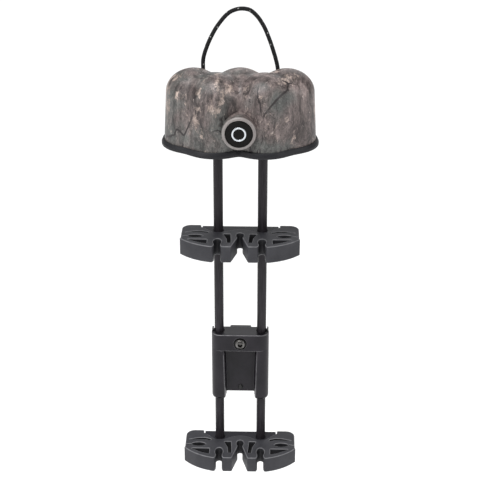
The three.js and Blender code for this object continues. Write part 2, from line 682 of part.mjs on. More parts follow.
const knotPockets = SIDES.map((side) => turned(
  rodOf(KNOT_RADIUS + 1, KNOT_Z - 6, HOOD_TOP), 'z', [side * CORD_X, -ROD_SETBACK - CORD_FORWARD, 0], 20,
));
const foam = cut(hoodSolid(HOOD_WALL + FOAM_CLEARANCE, FOAM_BOTTOM), ...knotPockets);
place('hood_foam', geometryOf(foam), { color: 0x19191b, roughness: 0.95, metalness: 0 });

// ---------- badge: plain disc with a raised ring and a round centre ----------
const badge = [
  [0, 0.1], [BADGE_RADIUS - 0.8, 0.1], [BADGE_RADIUS, 0.6], [BADGE_RADIUS, BADGE_DEPTH], [0, BADGE_DEPTH],
];
const BADGE_BLACK = { color: 0x0c0c0e, roughness: 0.2, metalness: 0 };
place('badge_disc', geometryOf(turned(badge, 'y', badgeAt, 28)), BADGE_BLACK);
const badgeRing = [[5.2, -0.7], [6.8, -0.7], [6.8, 0.1 - GAP], [5.2, 0.1 - GAP], [5.2, -0.7]];
place('badge_ring', geometryOf(turned(badgeRing, 'y', badgeAt, 28)), STEEL);

// ---------- yoke that ties the rods to the hood ----------
const yokeBackY = -ROD_SETBACK - YOKE_PAD_BACK;
const yokeBar = slab(roundedPlan(ROD_X + 6.5, -6, 8.2, 6), YOKE_BOTTOM, YOKE_TOP, 6);
const yokePad = block(
  [-YOKE_SCREW_X - 2.6, YOKE_SCREW_X + 2.6], [-ROD_SETBACK, yokeBackY], [YOKE_BOTTOM, YOKE_TOP],
);
const yoke = cut(
  joined(yokeBar, yokePad),
  ...SIDES.map((side) => slab(disc(side * ROD_X, 0, SLIDE_BORE), YOKE_BOTTOM - 1, YOKE_TOP + 1, 16)),
  ...SIDES.map((side) => turned(
    rodOf(YOKE_SCREW_RADIUS + GAP, -14, 2), 'y', [side * YOKE_SCREW_X, yokeBackY, yokeMiddle], 16,
  )),
);
place('hood_yoke', geometryOf(yoke), BLACK_PLASTIC);

for (const side of SIDES) {
  const headY = hoodBackY(YOKE_SCREW_X) + 1.9;
  const profile = [
    [0, -15], [YOKE_SCREW_RADIUS, -15], [YOKE_SCREW_RADIUS, 0], [4, 0], [4, 1.2], [3, 2.1], [0, 2.3],
  ];
  const at = [side * YOKE_SCREW_X, headY, yokeMiddle];
  const name = side < 0 ? 'left' : 'right';
  place(`yoke_screw_${name}`, geometryOf(cut(
    turned(profile, 'y', at, 20), socketCut('y', 1.7, 0.7, 3, at),
  )), BLACK_METAL);
}

// ---------- carry cord, its eyelets and knots ----------
const cordStart = KNOT_Z + KNOT_RADIUS + GAP;
const cordRoute = [
  [-35.5, -8.5, cordStart], [-35.5, -8.5, 313], [-35.8, -8.7, 319.5], [-35.6, -9.4, 326.6],
  [-33.6, -10.4, 334.4], [-28.5, -12, 346.8], [-21.5, -13.2, 358.9], [-11.8, -13.9, 370],
  [-5.2, -14, 373.4], [1.1, -14, 374.5], [8.6, -14, 373.1], [15.4, -13.7, 367.4],
  [21.8, -12.9, 357.9], [27.4, -11.8, 345], [31.5, -10.4, 333.2], [33.6, -9.4, 326.3],
  [35.1, -8.7, 319.5], [35.5, -8.5, 313], [35.5, -8.5, cordStart],
];
const cordCurve = new THREE.CatmullRomCurve3(
  cordRoute.map(([x, forward, z]) => new THREE.Vector3(x, -ROD_SETBACK - forward, z)), false, 'centripetal',
);
const cordSection = new THREE.Shape();
cordSection.absarc(0, 0, CORD_RADIUS, 0, 2 * Math.PI, false);
const cordGeometry = new THREE.ExtrudeGeometry(cordSection, {
  steps: 30, curveSegments: 5, bevelEnabled: false, extrudePath: cordCurve,
});
place('carry_cord', geometryOf(solid(cordGeometry)), CORD);

for (const side of SIDES) {
  const hand = side < 0 ? 'left' : 'right';
  const at = [side * CORD_X, -ROD_SETBACK - CORD_FORWARD, 0];
  const eyelet = [
    [EYELET_BORE, EYELET_BOTTOM], [EYELET_RADIUS, EYELET_BOTTOM], [EYELET_RADIUS, EYELET_TOP - 0.8],
    [EYELET_RADIUS - 0.4, EYELET_TOP], [EYELET_BORE, EYELET_TOP], [EYELET_BORE, EYELET_BOTTOM],
  ];
  place(`cord_eyelet_${hand}`, geometryOf(turned(eyelet, 'z', at, 20)), BLACK_PLASTIC);
  const knot = Array.from({ length: 7 }, (_, i) => {
    const angle = (i / 6 - 0.5) * Math.PI;
    return [i % 6 === 0 ? 0 : KNOT_RADIUS * Math.cos(angle), KNOT_Z + KNOT_RADIUS * Math.sin(angle)];
  });
  place(`cord_knot_${hand}`, geometryOf(turned(knot, 'z', at, 12)), CORD);
}

export default group;
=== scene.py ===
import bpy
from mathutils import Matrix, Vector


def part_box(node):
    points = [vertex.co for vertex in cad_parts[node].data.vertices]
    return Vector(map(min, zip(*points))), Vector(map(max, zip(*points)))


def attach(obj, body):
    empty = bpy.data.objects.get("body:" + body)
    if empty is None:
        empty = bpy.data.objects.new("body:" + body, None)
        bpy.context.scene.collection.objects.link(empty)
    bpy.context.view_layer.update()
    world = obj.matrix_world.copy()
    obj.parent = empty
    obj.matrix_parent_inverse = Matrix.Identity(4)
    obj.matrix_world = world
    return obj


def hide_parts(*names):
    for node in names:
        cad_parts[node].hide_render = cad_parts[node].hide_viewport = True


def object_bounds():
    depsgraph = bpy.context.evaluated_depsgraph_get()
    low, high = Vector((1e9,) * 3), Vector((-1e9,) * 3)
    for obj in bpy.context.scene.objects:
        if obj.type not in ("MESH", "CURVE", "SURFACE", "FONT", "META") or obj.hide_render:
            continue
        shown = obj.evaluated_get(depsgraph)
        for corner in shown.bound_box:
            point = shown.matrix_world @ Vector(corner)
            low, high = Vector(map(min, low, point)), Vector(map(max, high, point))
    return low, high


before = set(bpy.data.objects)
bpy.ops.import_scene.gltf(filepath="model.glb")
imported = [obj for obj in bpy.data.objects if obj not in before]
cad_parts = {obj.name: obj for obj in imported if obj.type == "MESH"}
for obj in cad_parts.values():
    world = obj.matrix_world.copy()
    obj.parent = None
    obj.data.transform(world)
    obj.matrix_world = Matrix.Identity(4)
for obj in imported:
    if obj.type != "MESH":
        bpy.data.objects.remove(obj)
cad_box = [list(corner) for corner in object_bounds()]

from math import ceil, cos, degrees, floor, hypot, pi, radians, sin, sqrt, tan

import bmesh
import bpy
import numpy as np
from mathutils import Vector, geometry

# Lengths below are millimetres. Outlines are drawn in (x, forward), where forward is the distance
# in front of the rod plane, and turned pieces in (radius, height along their axis).
MM = 0.001
HANDS = {"left": -1, "right": 1}
SIDES = (-1, 1)


def box_mm(node):
    low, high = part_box(node)
    return low / MM, high / MM


def middle(node):
    low, high = box_mm(node)
    return (low + high) / 2


def span(node, axis):
    """Where the node starts and ends along an axis."""
    return [getattr(corner, axis) for corner in box_mm(node)]


def on_axis(node, axis):
    """Where a profile round the node's axis starts from: its middle, with 0 along the axis."""
    at = middle(node)
    at["xyz".index(axis)] = 0
    return at


scene = bpy.context.scene

# ---------- sizes read from the frame ----------
ROD_X = middle("rod_right").x
ROD_Y = middle("rod_right").y
ROD_RADIUS = (span("rod_right", "x")[1] - span("rod_right", "x")[0]) / 2
ROD_BOTTOM, ROD_TOP = span("rod_right", "z")
BRACKET_LOW, BRACKET_HIGH = box_mm("bracket_body")
HOOD_LOW, HOOD_HIGH = box_mm("hood_shell")
RIM_LOW, RIM_HIGH = box_mm("hood_rim_trim")
ROD_BORE = 3.2
SLIDE_BORE = ROD_RADIUS + 0.3  # holes that the rods run through


def forward_to_y(forward):
    return ROD_Y - forward


# ---------- camera ----------
CAMERA_DISTANCE = 1.2
CAMERA_AZIMUTH = radians(1.5)
CAMERA_ELEVATION = radians(24)
AIM_X = -0.0004
AIM_HEIGHT = 0.158



def aimed(name, data, place, target):
    """An object that points from its place at a target, both in metres."""
    obj = bpy.data.objects.new(name, data)
    obj.location = place
    obj.rotation_mode = "QUATERNION"
    obj.rotation_quaternion = (target - Vector(place)).to_track_quat("-Z", "Y")
    scene.collection.objects.link(obj)
    return obj


camera_data = bpy.data.cameras.new("camera")
camera_data.lens = 90
camera_data.sensor_width = 36
camera_data.shift_y = -0.03
aim = Vector((AIM_X, ROD_Y * MM, AIM_HEIGHT))
towards = Vector((
    sin(CAMERA_AZIMUTH) * cos(CAMERA_ELEVATION),
    -cos(CAMERA_AZIMUTH) * cos(CAMERA_ELEVATION),
    sin(CAMERA_ELEVATION),
))
scene.camera = aimed("camera", camera_data, aim + towards * CAMERA_DISTANCE, aim)


# ---------- meshes ----------
ON_AXIS = 1e-9  # a profile's point no farther out than this is on the axis
SAME_POINT = 1e-3  # two points of an outline that are closer than this are one
STRAIGHT = radians(176)  # a corner flatter than this isn't rounded
MITER_LIMIT = 0.3  # keeps an inset sharp corner from running far


def mesh_object(name, points, faces, smooth_below=40):
    """A mesh object from points in millimetres, with its faces turned outwards."""
    mesh = bpy.data.meshes.new(name)
    mesh.from_pydata([tuple(c * MM for c in p) for p in points], [], faces)
    mesh.validate()
    work = bmesh.new()
    work.from_mesh(mesh)
    bmesh.ops.recalc_face_normals(work, faces=work.faces)
    work.to_mesh(mesh)
    work.free()
    shade(mesh, smooth_below)
    obj = bpy.data.objects.new(name, mesh)
    scene.collection.objects.link(obj)
    return obj


def shade(mesh, smooth_below=40):
    """Smooth except across edges sharper than the angle."""
    mesh.polygons.foreach_set("use_smooth", [True] * len(mesh.polygons))
    mesh.set_sharp_from_angle(angle=radians(smooth_below))


def mark_points(obj, name, values):
    marks = obj.data.attributes.new(name, "FLOAT", "POINT")
    marks.data.foreach_set("value", values)


def mark_edges(obj, least=25, most=50):
    """Marks the points along the middle of each rounded edge, where the surface turns quickest; materials
    paint a highlight there.
    """
    work = bmesh.new()
    work.from_mesh(obj.data)
    least, most = radians(least), radians(most)
    turning = {e for e in work.edges if e.is_convex and least < e.calc_face_angle(0) < most}
    mark_points(obj, "edge", [float(len(turning.intersection(v.link_edges)) > 1) for v in work.verts])
    work.free()


def tidy_normals(obj):
    """Flat faces stay flat next to rounded edges, and the rounded edges are marked for a painted highlight.
    """
    mark_edges(obj)
    weighted = obj.modifiers.new("normals", "WEIGHTED_NORMAL")
    weighted.keep_sharp = True
    weighted.weight = 80
    return obj


def apply_modifiers(obj):
    bpy.context.view_layer.update()
    depsgraph = bpy.context.evaluated_depsgraph_get()
    mesh = bpy.data.meshes.new_from_object(obj.evaluated_get(depsgraph))
    old = obj.data
    obj.modifiers.clear()
    obj.data = mesh
    bpy.data.meshes.remove(old)
    mesh.name = obj.name


def combine(base, tools, operation):
    """Joins base with the tools or cuts them out of it. The tools are used up."""
    for tool in tools:
        modifier = base.modifiers.new("combine", "BOOLEAN")
        modifier.operation = operation
        modifier.solver = "EXACT"
        modifier.object = tool
        apply_modifiers(base)
        spare = tool.data
        bpy.data.objects.remove(tool)
        bpy.data.meshes.remove(spare)
    shade(base.data)
    return base


def cut(base, *tools):
    return combine(base, tools, "DIFFERENCE")


def join(base, *tools):
    return combine(base, tools, "UNION")


def arc(centre, radius, start, end, step=9):
    """Points on an arc, in degrees, both ends included."""
    count = max(2, ceil(abs(end - start) / step))
    angles = [radians(start + (end - start) * i / count) for i in range(count + 1)]
    return [(centre[0] + radius * cos(a), centre[1] + radius * sin(a)) for a in angles]


def rounded(points, closed=True, step=12):
    """A path whose corners (x, y, radius) are rounded. A corner with no radius stays sharp."""
    corners = [(Vector(p[:2]), p[2] if len(p) > 2 else 0) for p in points]
    path = []
    for i, (here, radius) in enumerate(corners):
        before = corners[i - 1][0] - here
        after = corners[(i + 1) % len(corners)][0] - here
        at_end = not closed and i in (0, len(corners) - 1)
        if radius <= 0 or at_end or before.angle(after) > STRAIGHT:
            path.append(tuple(here))
            continue
        half = before.angle(after) / 2
        reach = min(radius / tan(half), 0.48 * before.length, 0.48 * after.length)
        radius = reach * tan(half)
        centre = here + (before.normalized() + after.normalized()).normalized() * radius / sin(half)
        first = here + before.normalized() * reach - centre
        last = here + after.normalized() * reach - centre
        turn = first.angle_signed(last)
        count = max(2, ceil(abs(degrees(turn)) / step))
        for k in range(count + 1):
            a = -turn * k / count
            path.append((
                centre.x + first.x * cos(a) - first.y * sin(a),
                centre.y + first.x * sin(a) + first.y * cos(a),
            ))
    return path


def between(p, q, start, end, t):
    """The point at t on the line that is at p when t is start and at q when t is end."""
    return p * ((end - t) / (end - start)) + q * ((t - start) / (end - start))


def spline(points, per_span):
    """A smooth open curve through the points, its ends included (centripetal Catmull-Rom)."""
    knots = [Vector(p) for p in points]
    knots = [2 * knots[0] - knots[1], *knots, 2 * knots[-1] - knots[-2]]
    curve = []
    for p0, p1, p2, p3 in zip(knots, knots[1:], knots[2:], knots[3:]):
        t1 = sqrt((p1 - p0).length)
        t2 = t1 + sqrt((p2 - p1).length)
        t3 = t2 + sqrt((p3 - p2).length)
        for k in range(per_span):
            t = t1 + (t2 - t1) * k / per_span
            here = between(p1, p2, t1, t2, t)
            early = between(between(p0, p1, 0, t1, t), here, 0, t2, t)
            late = between(here, between(p2, p3, t2, t3, t), t1, t3, t)
            curve.append(tuple(between(early, late, t1, t2, t)))
    curve.append(tuple(knots[-2]))
    return curve


def band(low, high, size):
    """The faces between two closed rings of points, each given by its first point."""
    return [(low + k, low + (k + 1) % size, high + (k + 1) % size, high + k) for k in range(size)]


def fan(tip, first, size):
    """The faces between a point and a closed ring of points."""
    return [(tip, first + k, first + (k + 1) % size) for k in range(size)]


def turned(name, profile, axis, at, segments=64):
    """A solid of revolution. The profile starts and ends on the axis, or closes on itself."""
    ring = profile[0][0] > ON_AXIS
    rows = [p for p in profile if p[0] > ON_AXIS]
    angles = [2 * pi * k / segments for k in range(segments)]
    points = [(r * cos(a), r * sin(a), height) for r, height in rows for a in angles]
    faces = []
    for i in range(len(rows) if ring else len(rows) - 1):
        faces += band(i * segments, (i + 1) % len(rows) * segments, segments)
    if not ring:
        for row, end in ((0, profile[0]), (len(rows) - 1, profile[-1])):
            faces += fan(len(points), row * segments, segments)
            points.append((0, 0, end[1]))
    turn = {"z": lambda p: p, "y": lambda p: (p[0], p[2], -p[1]), "x": lambda p: (p[2], p[0], p[1])}[axis]
    placed = [tuple(c + o for c, o in zip(turn(p), at)) for p in points]
    return mesh_object(name, placed, faces)


def spun(name, profile, axis, at, segments=64):
    """A solid of revolution from a profile of (radius, height, radius of the corner)."""
    return turned(name, rounded(profile, closed=profile[0][0] > ON_AXIS), axis, at, segments)


def signed_area(loop):
    return sum(a[0] * b[1] - b[0] * a[1] for a, b in zip(loop, loop[1:] + loop[:1])) / 2


def inset_loop(loop, inset):
    """The loop moved to its left, which is where the material is."""
    moved = []
    for before, here, after in zip(loop[-1:] + loop[:-1], loop, loop[1:] + loop[:1]):
        d1 = (Vector(here) - Vector(before)).normalized()
        d2 = (Vector(after) - Vector(here)).normalized()
        n1, n2 = Vector((-d1.y, d1.x)), Vector((-d2.y, d2.x))
        miter = (n1 + n2) / max(1 + n1.dot(n2), MITER_LIMIT)
        moved.append((here[0] + miter.x * inset, here[1] + miter.y * inset))
    return moved


def distinct(loop):
    pairs = zip(loop, loop[-1:] + loop[:-1])
    return [p for p, q in pairs if (Vector(p) - Vector(q)).length > SAME_POINT]


def extruded(name, loops, bottom, top, bevel=0.5, rings=(), warp=None, steps=3):
    """Extrudes an outline with holes between two heights, with rounded top and bottom edges.
    warp moves each finished point."""
    ready = []
    for i, loop in enumerate(loops):
        loop = distinct(loop)
        clockwise = signed_area(loop) < 0
        ready.append(loop[::-1] if clockwise != (i > 0) else loop)
    quarter = [pi / 2 * k / steps for k in range(steps + 1)]
    rows = [(bottom + bevel * (1 - cos(a)), bevel * (1 - sin(a))) for a in quarter]
    rows += [(z, 0) for z in rings]
    rows += [(top - bevel * (1 - cos(a)), bevel * (1 - sin(a))) for a in reversed(quarter)]
    points, faces, ends = [], [], []
    for loop in ready:
        starts = []
        for z, inset in rows:
            starts.append(len(points))
            points += [(x, y, z) for x, y in (inset_loop(loop, inset) if inset else loop)]
        size = len(loop)
        for low, high in zip(starts, starts[1:]):
            faces += band(low, high, size)
        ends.append((starts[0], starts[-1], size))
    if warp:
        points = [warp(*p) for p in points]
    for which in (0, 1):
        index = [e[which] + k for e in ends for k in range(e[2])]
        flat = [[Vector(points[e[which] + k]) for k in range(e[2])] for e in ends]
        faces += [tuple(index[t] for t in triangle) for triangle in geometry.tessellate_polygon(flat)]
    return mesh_object(name, points, faces)


def laid(loops):
    """Outlines from (x, forward) to (x, y)."""
    return [[(x, forward_to_y(forward)) for x, forward in loop] for loop in loops]


def upright(name, loops, front, back, bevel):
    """Extrudes outlines drawn in (x, z) along y."""
    return extruded(name, loops, front, back, bevel, warp=lambda x, z, y: (x, y, z))


def corners(*points):
    """The rounded corners between two end points, without the end points."""
    return rounded(points, closed=False)[1:-1]


def rectangle(x0, x1, y0, y1, radius):
    return rounded([(x0, y0, radius), (x1, y0, radius), (x1, y1, radius), (x0, y1, radius)])


def drill(radius, start, end, axis, at, segments=40):
    """A cutting tool, round unless it has few segments."""
    return turned("drill", [(0, start), (radius, start), (radius, end), (0, end)], axis, at, segments)


def hex_socket(radius, start, end, at):
    """A cutting tool for a key's socket along y."""
    return drill(radius, start, end, "y", at, segments=6)


def piece(obj, slot, node, body="rod_frame", material=None):
    """Puts obj in place of a CAD node. Its material is the slot's, unless another is given."""
    obj.data.materials.clear()
    obj.data.materials.append(material or MATERIALS[slot])
    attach(obj, body)
    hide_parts(node)


# ---------- materials ----------
def rgba(value):
    """A grey level or a colour, with its alpha. A node's output stays as it is."""
    if isinstance(value, bpy.types.NodeSocket):
        return value
    return (*value, 1) if isinstance(value, tuple) else (value, value, value, 1)


class Shader:
    """A node material whose sockets are set by name."""

    def __init__(self, name, **values):
        self.material = bpy.data.materials.new(name)
        self.material.use_nodes = True
        self.tree = self.material.node_tree
        self.surface = self.tree.nodes["Principled BSDF"]
        for socket, value in values.items():
            self.surface.inputs[socket.replace("_", " ")].default_value = value
        self.place = self.node("ShaderNodeTexCoord").outputs["Object"]

    def node(self, kind, inputs=None, **settings):
        made = self.tree.nodes.new(kind)
        for key, value in settings.items():
            setattr(made, key, value)
        for key, value in (inputs or {}).items():
            if isinstance(value, bpy.types.NodeSocket):
                self.tree.links.new(value, made.inputs[key])
            else:
                made.inputs[key].default_value = value
        return made

    def link(self, output, socket):
        self.tree.links.new(output, self.surface.inputs[socket])

    def vector(self, operation, a, b):
        return self.node("ShaderNodeVectorMath", {0: a, 1: b}, operation=operation).outputs[0]

    def attribute(self, name):
        return self.node("ShaderNodeAttribute", attribute_name=name).outputs["Fac"]

    def noise(self, scale, detail=4, roughness=0.6, stretch=(1, 1, 1), distortion=0, place=None):
        """Noise over the object's own coordinates, or over place, times a scale for each axis."""
        place = self.place if place is None else place
        made = self.node("ShaderNodeTexNoise", {
            "Vector": self.vector("MULTIPLY", place, stretch), "Scale": scale, "Detail": detail,
            "Roughness": roughness, "Distortion": distortion,
        })
        return made.outputs["Fac"]

    def ramp(self, value, stops):
        made = self.node("ShaderNodeValToRGB", {"Fac": value})
        ramp = made.color_ramp
        ramp.elements.remove(ramp.elements[0])
        for i, (position, colour) in enumerate(stops):
            element = ramp.elements[0] if i == 0 else ramp.elements.new(position)
            element.position = position
            element.color = rgba(colour)
        return made.outputs["Color"]

    def mix(self, factor, a, b, blend="MIX"):
        inputs = {0: factor, 6: rgba(a), 7: rgba(b)}
        return self.node("ShaderNodeMix", inputs, data_type="RGBA", blend_type=blend).outputs[2]

    def times(self, colour, factor):
        return self.mix(1.0, colour, factor, "MULTIPLY")

    def math(self, operation, a, b):
        return self.node("ShaderNodeMath", {0: a, 1: b}, operation=operation).outputs[0]

    def rise(self, value, low, high, top=1.0):
        return self.ramp(value, [(low, 0.0), (high, top)])

    def finish(self, colour, rough, stops, height=None, strength=0.0, distance=0.0):
        """Sets the colour, a roughness that varies between the stops, and a bump if a height is given."""
        self.link(colour, "Base Color")
        self.link(self.ramp(rough, stops), "Roughness")
        if height:
            self.bump(height, strength, distance)
        return self.material

    def bump(self, height, strength, distance):
        made = self.node("ShaderNodeBump", {"Height": height, "Strength": strength, "Distance": distance})
        self.link(made.outputs["Normal"], "Normal")

    def edges(self, radius, low, high):
        """1 along edges, where a highlight is painted: the marked ones, and where a rounded normal leans
        from the true one.
        """
        bevel = self.node("ShaderNodeBevel", {"Radius": radius}, samples=6).outputs["Normal"]
        plain = self.node("ShaderNodeNewGeometry").outputs["Normal"]
        lean = self.node("ShaderNodeVectorMath", {0: bevel, 1: plain}, operation="DOT_PRODUCT")
        amount = self.math("SUBTRACT", 1.0, lean.outputs["Value"])
        # The mask for a painted edge highlight, broken up by noise.
        edge_highlight = self.math("MAXIMUM", self.rise(amount, low, high), self.attribute("edge"))
        patchy = self.ramp(self.noise(220, 3), [(0.3, 0.5), (0.65, 1.0)])
        return self.math("MULTIPLY", edge_highlight, patchy)

    def shaded(self, colour, distance, open_at=0.85):
        """The colour with painted shade, darker in narrow hollows."""
        open_air = self.node("ShaderNodeAmbientOcclusion", {"Distance": distance}, samples=8).outputs["AO"]
        # Painted shade: ambient occlusion darkens the colour.
        return self.times(colour, self.ramp(open_air, [(0.25, 0.06), (open_at, 1.0)]))


def black_metal():
    s = Shader("bracket_black", Metallic=0.3, Roughness=0.34, Specular_IOR_Level=0.38)
    fine = s.noise(900, 3, 0.7)
    broad = s.noise(45, 4, 0.55)
    base = s.mix(s.rise(broad, 0.35, 0.65), (0.008, 0.007, 0.01), (0.018, 0.016, 0.021))
    # Painted highlight on the edges (pale grey) and painted shade in hollows up to 22 mm across.
    base = s.shaded(s.mix(s.edges(0.0011, 0.02, 0.2), base, (0.17, 0.165, 0.175)), 0.022, 0.8)
    return s.finish(base, s.mix(0.4, fine, broad), [(0.3, 0.27), (0.7, 0.42)], fine, 0.18, 0.00004)


def rod_black():
    s = Shader("rod_black", Metallic=0.1, Roughness=0.4, Specular_IOR_Level=0.22)
    weave = s.noise(60, 5, 0.65, stretch=(14, 14, 1))
    base = s.mix(s.rise(weave, 0.35, 0.68), (0.016, 0.0145, 0.017), (0.036, 0.0315, 0.038))
    return s.finish(base, s.noise(30, 3), [(0.3, 0.34), (0.7, 0.46)], weave, 0.12, 0.00003)


def moulded(name, low, high, roughness, grain, grain_depth, edge=None, specular=0.3, hollow_shade=0.0):
    """Moulded plastic or rubber: a fine skin grain, faint cloudiness and, if asked, a painted highlight
    on the edges and painted shade in the hollows."""
    s = Shader(name, Roughness=roughness, Specular_IOR_Level=specular)
    fine = s.noise(grain, 4, 0.7)
    base = s.mix(s.rise(s.mix(0.3, s.noise(28, 5), fine), 0.36, 0.64), low, high)
    # edge is the colour of a painted edge highlight; the hollows get painted shade.
    if edge:
        base = s.mix(s.edges(0.0012, 0.025, 0.22), base, edge)
    if hollow_shade:
        base = s.shaded(base, hollow_shade)
    stops = [(0.25, roughness - 0.08), (0.75, roughness + 0.08)]
    return s.finish(base, fine, stops, fine, 0.35, grain_depth)


def steel(name, light, dark):
    s = Shader(name, Metallic=1.0, Roughness=0.3)
    brushed = s.noise(500, stretch=(1, 1, 6))
    # Painted shade darkens the hollows.
    base = s.shaded(s.mix(s.rise(s.noise(240, 5), 0.4, 0.7), light, dark), 0.003)
    return s.finish(base, brushed, [(0.3, 0.22), (0.7, 0.42)], brushed, 0.15, 0.00002)


def badge_gloss():
    s = Shader("badge_black", Roughness=0.28, Specular_IOR_Level=0.12)
    base = s.mix(s.noise(160, 3), 0.003, (0.009, 0.008, 0.007))
    return s.finish(base, s.noise(500, 3), [(0.3, 0.22), (0.8, 0.36)])


def silver():
    s = Shader("badge_silver", Metallic=1.0, Roughness=0.25)
    base = s.mix(s.noise(300, 3), (0.62, 0.66, 0.7), (0.84, 0.87, 0.9))
    return s.finish(base, s.noise(800, 3), [(0.3, 0.18), (0.7, 0.34)])


def foam_black():
    s = Shader("hood_foam", Roughness=0.95, Specular_IOR_Level=0.2, Sheen_Weight=0.2)
    cells = s.node("ShaderNodeTexVoronoi", {"Vector": s.place, "Scale": 700.0}).outputs["Distance"]
    s.link(s.ramp(cells, [(0.0, 0.006), (0.6, (0.03, 0.03, 0.032))]), "Base Color")
    s.bump(cells, 0.8, 0.0006)
    return s.material


def cord_fibre():
    s = Shader("cord_black", Roughness=0.85, Specular_IOR_Level=0.15, Sheen_Weight=0.15)
    fibre = s.noise(1500, 3, 0.7)
    dark = s.mix(fibre, (0.004, 0.004, 0.005), (0.018, 0.018, 0.019))
    pale = s.mix(fibre, 0.22, (0.42, 0.42, 0.41))
    s.link(s.mix(s.attribute("tracer"), dark, pale), "Base Color")
    s.bump(fibre, 0.4, 0.00006)
    return s.material


def bark_camouflage():
    """A generic bark pattern: grey-brown grain, green-grey and pale tan patches, streaks, flecks and thin
    dark cracks, with a painted highlight on the boss's front and a black lining."""
    s = Shader("hood_camo", Roughness=0.42, Specular_IOR_Level=0.5)
    wander = s.noise(20, distortion=0.4)
    offset = s.node("ShaderNodeCombineXYZ", {"X": wander, "Y": wander, "Z": wander}).outputs[0]
    sway = s.vector("MULTIPLY", offset, (0.022, 0.022, 0.01))
    bent = s.vector("ADD", s.place, sway)

    def on_bark(scale, stretch, detail=5, roughness=0.65):
        return s.noise(scale, detail, roughness, stretch, place=bent)

    grain = s.rise(on_bark(70, (1, 1, 0.3), 7, 0.75), 0.36, 0.62)
    brown = s.mix(grain, (0.038, 0.029, 0.028), (0.19, 0.152, 0.144))
    green_grey = s.mix(on_bark(90, (1, 1, 0.7), 4, 0.5), (0.058, 0.063, 0.06), (0.142, 0.148, 0.139))
    smooth = s.rise(on_bark(17, (1, 1, 0.8), 3, 0.5), 0.49, 0.57, 0.85)
    ground = s.mix(smooth, brown, green_grey)
    pale = s.mix(on_bark(150, (1, 1, 0.35)), (0.18, 0.136, 0.12), (0.54, 0.44, 0.38))
    patches = s.rise(on_bark(30, (1.15, 1, 0.62), 7, 0.78), 0.55, 0.59, 0.9)
    ground = s.mix(patches, ground, pale)

    streaks = s.ramp(on_bark(170, (1, 1, 0.1), 6, 0.72), [(0.36, 0.35), (0.5, 1.0), (0.64, 1.75)])
    ground = s.mix(s.mix(smooth, 0.95, 0.4), ground, s.times(ground, streaks))
    curls = s.ramp(on_bark(60, (1, 1, 0.5), 6, 0.7), [(0.488, 0.0), (0.5, 0.95), (0.512, 0.0)])
    curl_area = s.rise(on_bark(24, (1, 1, 1), 3, 0.5), 0.46, 0.54)
    ground = s.mix(s.math("MULTIPLY", curls, curl_area), ground, (0.02, 0.014, 0.016))
    flecks = s.rise(on_bark(120, (1, 1, 0.6), 8, 0.8), 0.585, 0.625, 0.9)
    ground = s.mix(flecks, ground, (0.032, 0.024, 0.026))
    glints = s.rise(on_bark(200, (1, 1, 0.4), 6, 0.8), 0.61, 0.66, 0.85)
    ground = s.mix(glints, ground, (0.52, 0.44, 0.4))
    mottle = s.ramp(on_bark(620, (1, 1, 0.6), 4, 0.75), [(0.32, 0.6), (0.68, 1.4)])
    ground = s.times(ground, mottle)

    split = {"Vector": s.vector("MULTIPLY", bent, (1, 1, 0.3)), "Scale": 30.0}
    cells = s.node("ShaderNodeTexVoronoi", split, feature="DISTANCE_TO_EDGE").outputs["Distance"]
    cracks = s.ramp(cells, [(0.0, 1.0), (0.01, 0.9), (0.017, 0.0)])
    broken = s.rise(on_bark(26, (1, 1, 1), 3, 0.5), 0.5, 0.56)
    ground = s.mix(s.math("MULTIPLY", cracks, broken), ground, (0.018, 0.013, 0.014))
    # Painted highlight on the boss's front face, where the edge mark is set.
    ground = s.mix(s.math("MULTIPLY", s.attribute("edge"), 0.55), ground, (0.36, 0.33, 0.32))
    lining = s.mix(mottle, (0.008, 0.008, 0.009), (0.02, 0.02, 0.021))
    ground = s.mix(s.attribute("inside"), ground, lining)
    grit = s.noise(1200, 3)
    return s.finish(ground, on_bark(300, (1, 1, 1)), [(0.3, 0.36), (0.7, 0.5)], grit, 0.12, 0.00005)


# By slot. Blender numbers the names, because the frame's own materials have the plain ones.
MATERIALS = {made.name.split(".")[0]: made for made in (
    black_metal(), rod_black(), badge_gloss(), silver(), foam_black(), cord_fibre(), bark_camouflage(),
    steel("screw_steel", (0.62, 0.6, 0.58), (0.4, 0.38, 0.37)),
    # The edge colours are painted edge highlights; the hollow values set how far the painted shade reaches.
    moulded("grip_rubber", (0.026, 0.026, 0.031), (0.052, 0.052, 0.059), 0.55, 1400, 0.00008,
            edge=(0.19, 0.19, 0.2), hollow_shade=0.009),
    moulded("carrier_plastic", (0.009, 0.009, 0.014), (0.017, 0.016, 0.024), 0.45, 1600, 0.00003,
            edge=(0.06, 0.06, 0.072), specular=0.22, hollow_shade=0.006),
    moulded("black_plastic", (0.012, 0.012, 0.013), (0.022, 0.022, 0.024), 0.5, 1500, 0.00004),
    moulded("rim_rubber", (0.008, 0.008, 0.01), (0.016, 0.016, 0.019), 0.5, 1300, 0.00005,
            edge=(0.06, 0.06, 0.065)),
    moulded("screw_black", (0.012, 0.012, 0.013), 0.03, 0.4, 1200, 0.00003,
            edge=0.12),
)}
DARK_STEEL = steel("clamp_steel", (0.19, 0.185, 0.18), (0.09, 0.085, 0.08))
OXIDE_STEEL = steel("washer_steel", (0.035, 0.034, 0.036), (0.015, 0.015, 0.016))

